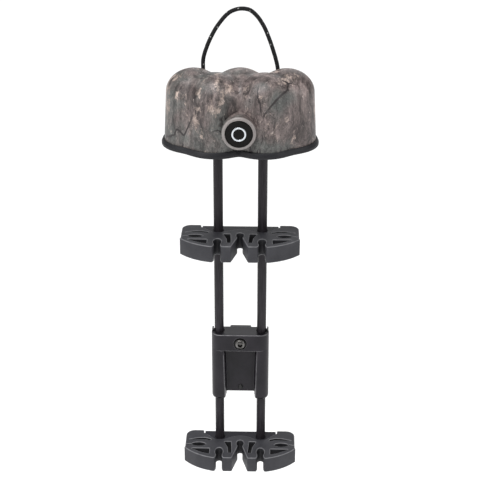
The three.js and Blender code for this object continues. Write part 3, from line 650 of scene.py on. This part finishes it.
# ---------- carry cord: braided, with one pale tracer strand ----------
CORD_DIAMETER = 4.0
CORD_ROUTE = [
    (-35.5, -8.5, 304.5), (-35.5, -8.5, 313), (-35.8, -8.7, 319.5), (-35.6, -9.4, 326.6),
    (-33.6, -10.4, 334.4), (-28.5, -12, 346.8), (-21.5, -13.2, 358.9), (-11.8, -13.9, 370),
    (-5.2, -14, 373.4), (1.1, -14, 374.5), (8.6, -14, 373.1), (15.4, -13.7, 367.4), (21.8, -12.9, 357.9),
    (27.4, -11.8, 345), (31.5, -10.4, 333.2), (33.6, -9.4, 326.3), (35.1, -8.7, 319.5), (35.5, -8.5, 313),
    (35.5, -8.5, 304.5),
]
BRAID_STRANDS = 8  # in each direction
BRAID_PITCH = 1.6
BRAID_DEPTH = 0.3
BRAID_AROUND = 56  # points round the cord
TRACER_EVERY = 3  # one crossing in this many shows the tracer strand
ROUTE_STEPS = 48  # from one point of the route to the next, each about 0.2 mm long


def braided_cord():
    """The cord as a tube with raised strands, and the closely spaced points of its route."""
    route = [Vector((x, forward_to_y(f), z)) for x, f, z in spline(CORD_ROUTE, ROUTE_STEPS)]
    points, tracer, faces = [], [], []
    side = (route[1] - route[0]).normalized().orthogonal().normalized()
    travelled = 0.0
    for i, here in enumerate(route):
        ahead = (route[min(i + 1, len(route) - 1)] - route[max(i - 1, 0)]).normalized()
        side = (side - ahead * side.dot(ahead)).normalized()
        up = ahead.cross(side)
        travelled += (here - route[i - 1]).length if i else 0
        for k in range(BRAID_AROUND):
            turn = k / BRAID_AROUND
            u = turn * BRAID_STRANDS + travelled / BRAID_PITCH
            v = turn * BRAID_STRANDS - travelled / BRAID_PITCH
            over = (floor(u) + floor(v)) % 2 == 0
            across = 2 * ((u if over else v) % 1) - 1
            height = sqrt(max(0.0, 1 - across * across))
            radius = CORD_DIAMETER / 2 - BRAID_DEPTH * (1 - height)
            a = 2 * pi * turn
            points.append(here + (side * cos(a) + up * sin(a)) * radius)
            pale = over and floor(u) % BRAID_STRANDS == 0 and floor(v) % TRACER_EVERY == 0
            tracer.append(float(pale))
    last = len(points) - BRAID_AROUND
    for low in range(0, last, BRAID_AROUND):
        faces += band(low, low + BRAID_AROUND, BRAID_AROUND)
    faces += [tuple(reversed(range(BRAID_AROUND))), tuple(range(last, len(points)))]
    obj = mesh_object("carry_cord_braid", points, faces, 75)
    mark_points(obj, "tracer", tracer)
    return obj, route


cord, cord_route = braided_cord()
piece(cord, "cord_black", "carry_cord")

# ---------- rods and their end plugs ----------
ROD_HOLES = [arc((side * ROD_X, 0), SLIDE_BORE, 0, 350, 7) for side in SIDES]
PLUG_RADIUS = ROD_BORE - 0.3
PLUG_SEAT = ROD_BOTTOM - 0.3

for hand, side in HANDS.items():
    at = (side * ROD_X, ROD_Y, 0)
    tube = spun(f"rod_tube_{hand}", [
        (ROD_BORE, ROD_BOTTOM, 0.3), (ROD_RADIUS, ROD_BOTTOM, 0.4), (ROD_RADIUS, ROD_TOP, 0.4),
        (ROD_BORE, ROD_TOP, 0.3),
    ], "z", at, 72)
    piece(tube, "rod_black", f"rod_{hand}")
    low, high = box_mm(f"rod_plug_{hand}")
    flange = (high.x - low.x) / 2
    plug = spun(f"rod_end_plug_{hand}", [
        (0, low.z), (flange, low.z, 0.8), (flange, PLUG_SEAT, 0.2), (PLUG_RADIUS, PLUG_SEAT, 0.2),
        (PLUG_RADIUS, high.z, 0.5), (0, high.z),
    ], "z", at)
    piece(plug, "black_plastic", f"rod_plug_{hand}")

# ---------- grippers ----------
SEAM = 0.35  # between rubber and carrier
GRIP_FILLET = 0.9
GRIP_BACK, GRIP_FRONT, GRIP_END = -10, 41.5, 58.6
CARRIER_END = 38.4
SET_SCREW_BORE = 2.3
OUTER_ARROW = Vector((44.2, 16.3))
OUTER_HOLE = Vector((7.3, 3.2))  # half its width and half its depth
SIDE_ARROW = Vector((22, 29.9))
SLIT = 0.45  # half the width of the slit that lets each outer arrow in


def carrier_edge(out):
    """The carrier's front edge, from its end to the middle."""
    knots = [(CARRIER_END, -4.9), (34.2, -1.2), (30.6, 2.9), (27.6, 5.6), (25.4, 6.2), (18.6, 6.2),
             (15.6, 5.2), (11, 2.3), (6, 0.1), (2.4, -0.7), (0, -0.8)]
    return spline([(x, f + out) for x, f in knots], 4)


def mirrored(half):
    """Closes a half outline (x >= 0) with its mirror image."""
    return half + [(-x, f) for x, f in reversed(half)]


def keyhole(centre, half_width, half_depth, start, end):
    """The round part of an arrow's keyhole, clockwise between two angles in degrees."""
    angles = [radians(d) for d in range(start, end, -9)]
    return [(centre[0] + half_width * cos(a), centre[1] + half_depth * sin(a)) for a in angles]


def rubber_outline():
    """Half of one closed line round the block: its back edge against the carrier, the end lobe, the outer
    arrow's hole with its slit out to the side, the front jaws, and the keyholes that open forward."""
    near = [(OUTER_ARROW.x + OUTER_HOLE.x * cos(a), OUTER_ARROW.y - OUTER_HOLE.y * sin(a) ** 1.15)
            for a in (radians(d) for d in range(12, 180, 8))]
    far = [(x, 2 * OUTER_ARROW.y - f) for x, f in reversed(near)]
    slit = spline([(51.3, 16.35), (55, 17.1), (GRIP_END, 18.1)], 4)[:-3]
    half = list(reversed(carrier_edge(SEAM)))[:-1]
    half += rounded([
        (38.9, -4.9), (39.6, -5.6), (39.6, GRIP_BACK, 1.4), (GRIP_END, GRIP_BACK, 11), (GRIP_END, 17.6, 1.2),
        (56, 16.9),
    ], closed=False)[:-1]
    half += [(x, f - SLIT) for x, f in reversed(slit)]
    half += [*near, (OUTER_ARROW.x - OUTER_HOLE.x, OUTER_ARROW.y), *far]
    half += [(x, f + SLIT) for x, f in slit]
    half += corners((56, 17.8), (GRIP_END, 18.6, 1.2), (GRIP_END, 21.2), (59.5, 22.4, 1.1), (57.4, 25))
    half += spline([(58, 24.2), (53, 29.2), (45.5, 34.6), (37, 38.8), (29, 41.4)], 4)
    half += corners((29, GRIP_FRONT), (26.4, GRIP_FRONT, 1.5), (25.2, 38.2, 1.5), (25, 35.4))
    half += keyhole(SIDE_ARROW, 4.1, 7.1, 43, -225)
    half += corners((19, 35.4), (18.8, 38.2, 1.5), (17.6, GRIP_FRONT, 1.5), (14, GRIP_FRONT))
    half += corners((14, GRIP_FRONT), (8.3, GRIP_FRONT, 1.3), (2.6, 20.5, 1), (2.6, 19))
    half += keyhole((0, 14.2), 3.8, 5.8, 46, -90)
    return half


def gripper_holes(side):
    """The openings that lighten the rubber on one side."""
    arch = [(31.6, 6.9, 0.8), (38, 4.4, 4), (45, 4.8, 6), (56, 8.4, 0.2), (45, 7.5, 6), (38, 7.3, 4),
            (31.6, 9.4, 0.8)]
    fin = [(52, 24.3, 0.4), (32.4, 24.3, 0.8), (32.4, 34, 0.8), (40, 31.4, 3)]
    relief = [(17, 11.2, 0.9), (9.7, 11.2, 0.9), (8.7, 31.8, 0.8), (12.1, 31.8, 0.8), (13, 21.5, 5)]
    return [[(side * x, f) for x, f in rounded(hole)] for hole in (arch, fin, relief)]


def gripper(name):
    low, high = box_mm(f"{name}_rubber")
    holes = [hole for side in SIDES for hole in gripper_holes(side)]
    outline = mirrored(rubber_outline())
    rubber = extruded(f"{name}_grips", laid([outline, *holes]), low.z, high.z, bevel=GRIP_FILLET)
    piece(tidy_normals(rubber), "grip_rubber", f"{name}_rubber", name)

    low, high = box_mm(f"{name}_carrier")
    back = rounded([(CARRIER_END, -5), (CARRIER_END, GRIP_BACK, 0.9), (30, GRIP_BACK)], closed=False)
    outline = mirrored([*reversed(carrier_edge(0)[1:]), *back])
    bar = extruded(f"{name}_bar", laid([outline, *ROD_HOLES]), low.z, high.z, bevel=0.5)
    for side in SIDES:
        cut(bar, drill(SET_SCREW_BORE, -5, 3, "y", (side * ROD_X, high.y, (low.z + high.z) / 2), 32))
    piece(tidy_normals(bar), "carrier_plastic", f"{name}_carrier", name)
    for hand in HANDS:
        set_screw(name, hand)


def set_screw(name, hand):
    node = f"{name}_set_screw_{hand}"
    front, back = span(node, "y")
    at = on_axis(node, "y")
    radius = span(node, "x")[1] - at.x
    body = spun(f"{name}_grub_screw_{hand}", [
        (0, front), (radius - 0.4, front, 0.1), (radius, front + 0.5, 0.1), (radius, back, 0.35), (0, back),
    ], "y", at, 40)
    cut(body, hex_socket(1.15, back - 1.9, back + 1, at))
    piece(body, "screw_black", node, name)


gripper("upper_gripper")
gripper("lower_gripper")

# ---------- bracket ----------
BLOCK_BOTTOM = 19.8
BRACKET_HALF = BRACKET_HIGH.x
BRACKET_FRONT = ROD_Y - BRACKET_LOW.y
BRACKET_BACK = ROD_Y - BRACKET_HIGH.y
BRACKET_BOTTOM = BRACKET_LOW.z
EAR_HEIGHT = 2.4
BRACKET_TOP = BRACKET_HIGH.z - EAR_HEIGHT
TUBE_ROUND = 8.6  # radius of the tubes' fronts
TUBE_END = 4.2  # height of the rounding at the tubes' lower ends
TUBE_INNER = ROD_RADIUS + 0.8  # the tubes' ends are rounded outside this, and the rods' holes lie inside it
RECESS_HALF, RECESS_FLOOR = 16, -1.4
RECESS_TAPER = 1.4  # how much narrower each side of the recess is at the bottom
FLOOR_BOTTOM = -35.3  # the recess is open below this


def bracket_plan(front, recess):
    """Half of the bracket's plan. With a recess it is a U open to the front."""
    half = corners((0, BRACKET_BACK), (BRACKET_HALF, BRACKET_BACK, 9), (BRACKET_HALF, front))
    if recess:
        half += arc((BRACKET_HALF - TUBE_ROUND, front - TUBE_ROUND), TUBE_ROUND, 0, 118, 8)
        half += corners((16.9, front - 1.6), (16.5, front - 2.6, 0.8), (16.25, 3),
                        (RECESS_HALF, RECESS_FLOOR, 1.8), (6, RECESS_FLOOR))
    else:
        half += corners((BRACKET_HALF, BRACKET_BACK), (BRACKET_HALF, front, 9.8), (6, front))
    return mirrored(half)


def shaped_wall(x, y, z):
    """Narrows the recess downwards and rounds the tubes' lower ends. The rods' holes stay as they are."""
    side = 1 if x > 0 else -1
    from_rod = Vector((x - side * ROD_X, y - ROD_Y))
    if from_rod.length < TUBE_INNER - 0.1:
        return x, y, z
    drop = (BLOCK_BOTTOM - z) / (BLOCK_BOTTOM - BRACKET_BOTTOM)
    if abs(x) < RECESS_HALF + 2.4 and y < ROD_Y + 3:
        from_rod.x -= side * RECESS_TAPER * drop * min(abs(x) / RECESS_HALF, 1)
    up = z - BRACKET_BOTTOM
    if up < TUBE_END and abs(x) > RECESS_HALF - 2:
        share = sqrt(max(0, 1 - (1 - up / TUBE_END) ** 2))
        spare = from_rod.length - TUBE_INNER
        from_rod = from_rod.normalized() * (TUBE_INNER + spare * (0.35 + 0.65 * share))
    return side * ROD_X + from_rod.x, ROD_Y + from_rod.y, z


def bracket():
    plan = laid([bracket_plan(BRACKET_FRONT, False), *ROD_HOLES])
    block = extruded("bracket_casting", plan, BLOCK_BOTTOM, BRACKET_TOP, bevel=1.1)
    end_rings = [BRACKET_BOTTOM + TUBE_END * (1 - cos(radians(a))) for a in range(30, 91, 10)]
    plan = laid([bracket_plan(BRACKET_FRONT - 0.5, True), *ROD_HOLES])
    walls = extruded("walls", plan, BRACKET_BOTTOM, BLOCK_BOTTOM + 2, bevel=0.3,
                     rings=[*end_rings, -20, 0, 12], warp=shaped_wall, steps=2)
    gap = laid([[(-14.6, -12), (14.6, -12), (14.6, 14), (-14.6, 14)]])
    cut(walls, extruded("floor_gap", gap, BRACKET_BOTTOM - 2, FLOOR_BOTTOM, bevel=0.1))
    screw_at = (0, forward_to_y(BRACKET_FRONT), middle("clamp_screw").z)
    cut(block, spun("seat", [(0, -2), (7.6, -2), (6.9, 0.1, 0.3), (6.9, 1.2, 0.4), (0, 1.2)], "y", screw_at))
    join(block, walls)
    for side in SIDES:
        plan = [(27.7, -4.2, 0.5), (29.3, -5, 0.8), (29.3, 4, 0.8), (27.7, 3.2, 0.5)]
        ear = laid([rounded([(side * x, f, radius) for x, f, radius in plan])])
        join(block, extruded("ear", ear, BRACKET_TOP - 2, BRACKET_TOP + EAR_HEIGHT, bevel=0.35))
    return block


piece(tidy_normals(bracket()), "bracket_black", "bracket_body", "bracket")

clamp_at = on_axis("clamp_screw", "y")
front, back = span("clamp_washer", "y")
washer = [(3.3, front, 0.1), (6.3, front, 0.2), (6.3, back, 0.1), (3.3, back, 0.1)]
washer = spun("clamp_washer_ring", washer, "y", clamp_at)
piece(washer, "screw_steel", "clamp_washer", "bracket", OXIDE_STEEL)
front, back = span("clamp_screw", "y")
head = spun("clamp_button_screw", [
    (0, front), (2.9, front, 0.8), (4.6, front + 0.9, 1.5), (5.4, front + 2.3, 0.5), (5.4, front + 3.2, 0.2),
    (3, front + 3.2, 0.2), (3, back, 0.4), (0, back),
], "y", clamp_at)
cut(head, hex_socket(2.8, front - 1, front + 2.6, clamp_at))
piece(tidy_normals(head), "screw_steel", "clamp_screw", "bracket", DARK_STEEL)

front, back = span("recess_rivet", "y")
rivet = spun("recess_rivet_dome", [
    (0, front), (1.8, front, 0.9), (2.8, front + 1.6, 0.2), (1.5, front + 1.6, 0.1), (1.5, back, 0.3),
    (0, back),
], "y", on_axis("recess_rivet", "y"), 48)
piece(rivet, "screw_black", "recess_rivet", "bracket")

# ---------- dovetail mount behind the bracket ----------
BOW_SCREW_RADIUS = 2.4
LEVER_AT = Vector((21, 0, 20))
PIN_BORE = 2.3
PLUNGER_BORE = 2.3
CLAMP_BORE = 3.3
PLUNGER_Y = -9.2
PLATE_FRONT = -6  # the rail stands forward of this
RAIL_TOP = 24
RECEIVER_TOP, RECEIVER_HALF = 30.5, 15


def dovetail(grow, bottom, top):
    """The rail's section, wider at its face than at its root, or with grow the groove that it slides in."""
    root, face, deep = 7 + grow, 9.5 + grow, -11 - grow
    section = rounded([
        (-root, PLATE_FRONT + 1), (-root, PLATE_FRONT), (-face, deep, 0.4), (face, deep, 0.4),
        (root, PLATE_FRONT), (root, PLATE_FRONT + 1),
    ])
    return extruded("dovetail", [section], bottom, top, bevel=0.35)


def receiver():
    low, high = box_mm("dovetail_receiver")
    block = rectangle(-RECEIVER_HALF, RECEIVER_HALF, low.y, high.y, 1.2)
    body = extruded("dovetail_receiver_body", [block], low.z, RECEIVER_TOP, 0.7)
    boss = extruded("boss", [rectangle(-11, 11, low.y, -12, 1.2)], RECEIVER_TOP - 1.5, high.z, 0.7)
    ear = [(13, 14), *arc((LEVER_AT.x, LEVER_AT.z), 6, -90, 90), (13, 26)]
    join(body, boss, upright("lug", [ear], -20, -11.9, 0.7))
    return cut(
        body, dovetail(0.3, low.z - 2, RAIL_TOP + 0.6), drill(PIN_BORE, -19.2, 0, "y", LEVER_AT),
        drill(PLUNGER_BORE, 8, RECEIVER_HALF + 1, "x", (0, PLUNGER_Y, LEVER_AT.z)),
        drill(CLAMP_BORE, low.y - 1, low.y + 8.2, "y", (0, 0, clamp_at.z)),
    )


def cam_lever():
    """A handle that bends outwards at its foot, with an off-centre round cam at its top."""
    low, high = box_mm("cam_lever")
    cam = arc((LEVER_AT.x - 0.9, LEVER_AT.z), 4.6, -20, 232)
    inner = spline([(17.6, 13), (17.8, -2), (18.6, -11), (20.6, -17.4), (23.4, -20.8)], 5)
    outer = spline([(26, -19), (23.4, -14.6), (22.3, -8), (22.2, 0), (23.6, 12)], 5)
    tip = corners((23.4, -20.8), (24.4, -21.6, 0.8), (26.4, -19.6, 0.8), (26, -19))
    hole = arc((LEVER_AT.x, LEVER_AT.z), PIN_BORE, 0, 350, 10)
    arm = upright("cam_lever_arm", [[*cam, *inner, *tip, *outer], hole], low.y, high.y, 0.35)
    for z in (-8, -10.4, -12.8, -15.2):
        cut(arm, upright("groove", [rectangle(14, 30, z, z + 0.9, 0.2)], high.y - 0.5, high.y + 1, 0.1))
    return arm


def bow_plate():
    low, high = box_mm("bow_plate")
    face = rectangle(low.x, high.x, low.z, high.z, 5)
    plate = upright("bow_mounting_plate", [face], PLATE_FRONT, high.y, 0.6)
    join(plate, dovetail(0, low.z + 0.1, RAIL_TOP))
    bore, seat = BOW_SCREW_RADIUS + 0.3, PLATE_FRONT - 0.5
    stepped = [(0, -14), (5, -14), (5, seat), (bore, seat), (bore, 1), (0, 1)]
    for node in ("bow_screw_upper", "bow_screw_lower"):
        cut(plate, turned("drill", stepped, "y", (0, 0, middle(node).z), 40))
    return plate


def thread(radius, start, end, pitch=1.06, depth=0.28):
    """The ridges of a screw thread, as part of a turned profile."""
    count = round((end - start) / pitch)
    step = (end - start) / count
    ridges = []
    for i in range(count):
        ridges += [(radius, start + (i + 0.2) * step), (radius - depth, start + (i + 0.7) * step)]
    return ridges


def bow_screw(name):
    front, back = span(name, "y")
    at = on_axis(name, "y")
    head, shank, seat = span(name, "x")[1] - at.x, BOW_SCREW_RADIUS, PLATE_FRONT - 0.8
    profile = rounded([(0, front), (head, front, 0.6), (head, seat, 0.2), (shank, seat)], closed=False)
    profile += [(shank, 0.2), *thread(shank, 0.4, back - 0.7), (shank - 0.7, back), (0, back)]
    return cut(turned(f"{name}_cap", profile, "y", at, 48), hex_socket(2.3, front - 1, front + 2.4, at))


piece(tidy_normals(receiver()), "bracket_black", "dovetail_receiver", "bracket")
piece(tidy_normals(cam_lever()), "bracket_black", "cam_lever", "lever")
piece(tidy_normals(bow_plate()), "bracket_black", "bow_plate", "bow_mount")
for name in ("bow_screw_upper", "bow_screw_lower"):
    piece(bow_screw(name), "screw_steel", name, "bow_mount")

front, back = span("lever_pin", "y")
pin = spun("lever_pin_riveted", [
    (0, front), (2, front, 0.4), (2, back - 1.6), (3.6, back - 1.6, 0.1), (3.6, back - 0.6, 0.4),
    (2.4, back, 0.5), (0, back),
], "y", LEVER_AT, 48)
piece(pin, "screw_steel", "lever_pin", "bracket")
inner, outer = span("lock_plunger", "x")
plunger = spun("lock_plunger_rod", [
    (0, inner), (1.4, inner, 0.2), (2, inner + 0.7, 0.2), (2, outer, 0.6), (0, outer),
], "x", on_axis("lock_plunger", "x"), 40)
piece(plunger, "screw_steel", "lock_plunger", "plunger")

# ---------- yoke that ties the rods to the hood ----------
YOKE_HALF = 28.5
YOKE_BORE = 2.3  # for its screws, here and in the hood's shell


def yoke():
    low, high = box_mm("hood_yoke")
    plan = laid([rectangle(-YOKE_HALF, YOKE_HALF, -6, 8.2, 6), *ROD_HOLES])
    bar = extruded("hood_yoke_bar", plan, low.z, high.z, 0.4)
    join(bar, extruded("pad", [rectangle(-13.6, 13.6, ROD_Y, high.y, 1)], low.z, high.z, 0.4))
    for hand in HANDS:
        at = (middle(f"yoke_screw_{hand}").x, high.y, (low.z + high.z) / 2)
        cut(bar, drill(YOKE_BORE, -14, 2, "y", at))
    return bar


def yoke_screw(node):
    front, back = span(node, "y")
    at = on_axis(node, "y")
    body = spun(f"{node}_button", [
        (0, front), (2, front, 0.3), (2, back - 2.3), (4, back - 2.3, 0.2), (4, back - 1.1, 1),
        (2.4, back, 0.6), (0, back),
    ], "y", at, 48)
    return cut(body, hex_socket(1.7, back - 1.6, back + 1, at))


piece(tidy_normals(yoke()), "black_plastic", "hood_yoke")
for hand in HANDS:
    node = f"yoke_screw_{hand}"
    piece(yoke_screw(node), "screw_black", node)

# ---------- hood ----------
LOBES = [(-44, 7.5), (0, 6), (44, 7.5), (-23, 22), (23, 22)]
HOOD_CENTRE = 14
HOOD_RADIUS = 29  # at the rim
HOOD_DRAFT = 2.6  # how much narrower each lobe is at the shoulder, where the dome starts
HOOD_WALL = 2.6
FOAM_CLEARANCE = 1.7
RIM_OUT = 2.6
LOBE_BLEND = 3.0
DOME_WIDTH, DOME_HEIGHT = 27, 22
SHOULDER = HOOD_HIGH.z - DOME_HEIGHT
BOSS_FRONT, BOSS_RADIUS, BOSS_LENGTH = HOOD_LOW.y, 16, 18
BADGE_SEAT, BADGE_DEPTH = 13, 1.7  # radius and depth of the badge's recess in the boss
SLICES = 288
ANGLES = np.arange(SLICES) * 2 * pi / SLICES
FARTHEST = 120.0  # beyond every outline, from the hood's centre
HALVINGS = 45


def around(out):
    """The points at the distances out from the hood's centre, one at each angle, as x and forward."""
    return out * np.cos(ANGLES), HOOD_CENTRE + out * np.sin(ANGLES)


def lobe_field(x, forward, radius):
    """Distance outside the blended outline of the lobes, negative inside."""
    total = sum(np.exp((radius - np.hypot(x - lx, forward - lf)) / LOBE_BLEND) for lx, lf in LOBES)
    return -LOBE_BLEND * np.log(total)


def reach(radius):
    """How far the blended outline is from the hood's centre at each angle, found by halving."""
    near, far = np.zeros(SLICES), np.full(SLICES, FARTHEST)
    for _ in range(HALVINGS):
        half_way = (near + far) / 2
        inside = lobe_field(*around(half_way), radius) < 0
        near, far = np.where(inside, half_way, near), np.where(inside, far, half_way)
    return near


def dome_height(x, forward, radius, inset):
    width = DOME_WIDTH - inset
    depth = np.minimum(-lobe_field(x, forward, radius), width)
    part = np.clip(1 - depth / width, 0, 1)
    return SHOULDER + (DOME_HEIGHT - inset) * np.sqrt(1 - part * part)


def wall_radius(z):
    """The lobes' radius at a height on the wall, which tapers up to the dome's shoulder."""
    return HOOD_RADIUS - HOOD_DRAFT * (z - HOOD_LOW.z) / (SHOULDER - HOOD_LOW.z)


def hood_solid(name, inset, bottom, top_rings=72, wall_rings=40, underside=None):
    """The hood's outside moved in by inset: a dome, a wall and a bottom, flat unless it has an underside."""
    radius = HOOD_RADIUS - HOOD_DRAFT - inset
    edge = reach(radius)
    foot = reach(wall_radius(bottom) - inset)
    rows = []
    for share in np.sin(np.linspace(0, 1, top_rings + 1) * pi / 2)[1:]:
        x, forward = around(share * edge)
        rows.append((x, forward, dome_height(x, forward, radius, inset)))
    for k in range(1, wall_rings + 1):
        part = k / wall_rings
        height = np.full(SLICES, SHOULDER + (bottom - SHOULDER) * part)
        rows.append((*around(edge + (foot - edge) * part), height))
    for share in (0.97, 0.9, 0.8, 0.65, 0.5, 0.35, 0.2, 0.08):
        x, forward = around(share * foot)
        rows.append((x, forward, underside(x, forward) if underside else np.full(SLICES, bottom)))
    points = [(px, forward_to_y(pf), pz) for row in rows for px, pf, pz in zip(*row)]
    last = len(points) - SLICES
    faces = []
    for low in range(0, last, SLICES):
        faces += band(low, low + SLICES, SLICES)
    top = float(dome_height(np.zeros(1), np.full(1, float(HOOD_CENTRE)), radius, inset)[0])
    for first, z in ((0, top), (last, rows[-1][2][0])):
        faces += fan(len(points), first, SLICES)
        points.append((0, forward_to_y(HOOD_CENTRE), z))
    return mesh_object(name, points, faces)


def hood_shell():
    shell = hood_solid("hood_camo_shell", 0, HOOD_LOW.z)
    back = BOSS_FRONT + BOSS_LENGTH
    join(shell, spun("boss", [
        (0, back), (BOSS_RADIUS, back), (BOSS_RADIUS, BOSS_FRONT, 2.2), (0, BOSS_FRONT),
    ], "y", badge_at, 128))
    cut(shell, hood_solid("inside", HOOD_WALL, HOOD_LOW.z - 3))
    seat = BOSS_FRONT + BADGE_DEPTH
    cut(shell, spun("recess", [
        (0, BOSS_FRONT - 1), (BADGE_SEAT + 0.5, BOSS_FRONT - 1), (BADGE_SEAT, BOSS_FRONT + 0.5, 0.3),
        (BADGE_SEAT, seat), (0, seat),
    ], "y", badge_at, 128))
    for hand in HANDS:
        low, high = box_mm(f"cord_eyelet_{hand}")
        cut(shell, drill((high.x - low.x) / 2 + 0.2, 300, 330, "z", on_axis(f"cord_eyelet_{hand}", "z"), 48))
    for hand in HANDS:
        cut(shell, drill(YOKE_BORE, -8, 8, "y", middle(f"yoke_screw_{hand}"), 32))
    return shell


def in_boss_highlight(x, y, z):
    """Whether a painted highlight lightens the film: round the boss's front, outside the recess."""
    return y < BOSS_FRONT + 2 and hypot(x, z - badge_at[2]) > BADGE_SEAT - 0.2


badge_at = (0, 0, middle("badge_disc").z)
shell = hood_shell()
# The edge mark here carries the painted highlight on the boss's front.
mark_points(shell, "edge", [float(in_boss_highlight(*(v.co / MM))) for v in shell.data.vertices])
within = Vector((0, forward_to_y(HOOD_CENTRE), SHOULDER - 15)) * MM  # a point in the hollow
mark_points(shell, "inside", [float(v.normal.dot(v.co - within) < 0) for v in shell.data.vertices])
piece(shell, "hood_camo", "hood_shell")


def rim_trim():
    """A rubber channel round the shell's lower edge, swept round the lobed outline."""
    low, top = RIM_LOW.z, RIM_HIGH.z
    seat = HOOD_LOW.z - 0.2
    profile = rounded([
        (RIM_OUT, low, 0.9), (RIM_OUT, low + 2.8, 0.8), (1.3, top, 0.5), (0.2, top, 0.1), (0.2, seat),
        (-3.4, seat), (-3.4, top, 0.1), (-4.3, top, 0.4), (-4.4, low, 0.8),
    ], step=30)
    points, faces = [], []
    for i, (out, z) in enumerate(profile):
        points += [(x, forward_to_y(f), z) for x, f in zip(*around(reach(HOOD_RADIUS + out)))]
        faces += band(i * SLICES, (i + 1) % len(profile) * SLICES, SLICES)
    return mesh_object("hood_rim_channel", points, faces)


piece(rim_trim(), "rim_rubber", "hood_rim_trim")

FOAM_BOTTOM = span("hood_foam", "z")[0]


def foam_underside(x, forward):
    """Gently uneven, where broadheads have been pushed in."""
    swell = 0.7 * (1 + np.sin(x * 0.31) * np.cos(forward * 0.37))
    return FOAM_BOTTOM + swell + 0.25 * np.sin(x * 1.1 + forward * 0.9)


foam = hood_solid("hood_foam_block", HOOD_WALL + FOAM_CLEARANCE, FOAM_BOTTOM, 30, 8, foam_underside)
piece(foam, "hood_foam", "hood_foam")

# ---------- badge ----------
front, back = span("badge_disc", "y")
radius = span("badge_disc", "x")[1]
disc = spun("badge_disc_gloss", [
    (0, front), (radius - 0.9, front, 0.6), (radius, front + 0.6, 0.3), (radius, back, 0.1), (0, back),
], "y", badge_at, 128)
piece(tidy_normals(disc), "badge_black", "badge_disc")
top, foot = span("badge_ring", "y")[0], front + 0.1
ring = [(5.2, top, 0.25), (6.8, top, 0.25), (6.8, foot), (5.2, foot)]
ring = spun("badge_ring_bright", ring, "y", badge_at, 96)
piece(ring, "badge_silver", "badge_ring")

# ---------- cord eyelets ----------
for hand in HANDS:
    node = f"cord_eyelet_{hand}"
    at = on_axis(node, "z")
    low, high = span(node, "z")
    inner, outer = CORD_DIAMETER / 2 + 0.4, span(node, "x")[1] - at.x
    collar = [(inner, low, 0.2), (outer, low, 0.2), (outer, high - 3.2, 0.8), (inner, high - 3.2, 0.4)]
    collar = spun(f"cord_collar_{hand}", collar, "z", at, 48)
    piece(collar, "black_plastic", node)

# The knots keep their CAD shape, out of sight in the foam.
for hand in HANDS:
    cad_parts[f"cord_knot_{hand}"].material_slots[0].material = MATERIALS["cord_black"]

# ---------- stage and light ----------
LIT = Vector((0, -0.04, 0.15))  # metres, as are the lamps' places
FLOOR_HALF = 14000
FLOOR_DROP = 500  # the floor lies this far below the part


def soft_floor():
    low = cad_box[0][2] / MM - FLOOR_DROP
    ends = [(-1, -1), (1, -1), (1, 1), (-1, 1)]
    obj = mesh_object("floor", [(a * FLOOR_HALF, b * FLOOR_HALF, low) for a, b in ends], [(0, 1, 2, 3)])
    s = Shader("floor", Roughness=1.0, Specular_IOR_Level=0.0)
    s.link(s.mix(s.noise(3, 2), 0.93, 0.95), "Base Color")
    obj.data.materials.append(s.material)


def lamp(name, kind, place, energy, **settings):
    """A lamp that points at the middle of the part."""
    light = bpy.data.lights.new(name, kind)
    light.energy = energy
    for key, value in settings.items():
        setattr(light, key, value)
    aimed(name, light, place, LIT)


soft_floor()
lamp("sky", "SUN", (-0.35, -0.55, 1.7), 3.1, angle=radians(50))
lamp("left_softbox", "AREA", (-1.3, -1.0, 0.75), 7, size=0.9)
lamp("right_softbox", "AREA", (1.4, -0.7, 0.8), 6, size=0.9)
lamp("back_softbox", "AREA", (0.2, 1.3, 1.0), 4, size=1.1)


def studio():
    """White behind everything, and a dimmer light all round than the camera sees."""
    world = bpy.data.worlds.new("studio")
    world.use_nodes = True
    tree = world.node_tree
    background = tree.nodes["Background"]
    background.inputs["Color"].default_value = (1, 1, 1, 1)
    seen = tree.nodes.new("ShaderNodeLightPath").outputs["Is Camera Ray"]
    strength = tree.nodes.new("ShaderNodeMapRange")
    strength.inputs["To Min"].default_value = 0.22
    strength.inputs["To Max"].default_value = 1.0
    tree.links.new(seen, strength.inputs["Value"])
    tree.links.new(strength.outputs["Result"], background.inputs["Strength"])
    scene.world = world


studio()
scene.view_settings.view_transform = "Standard"
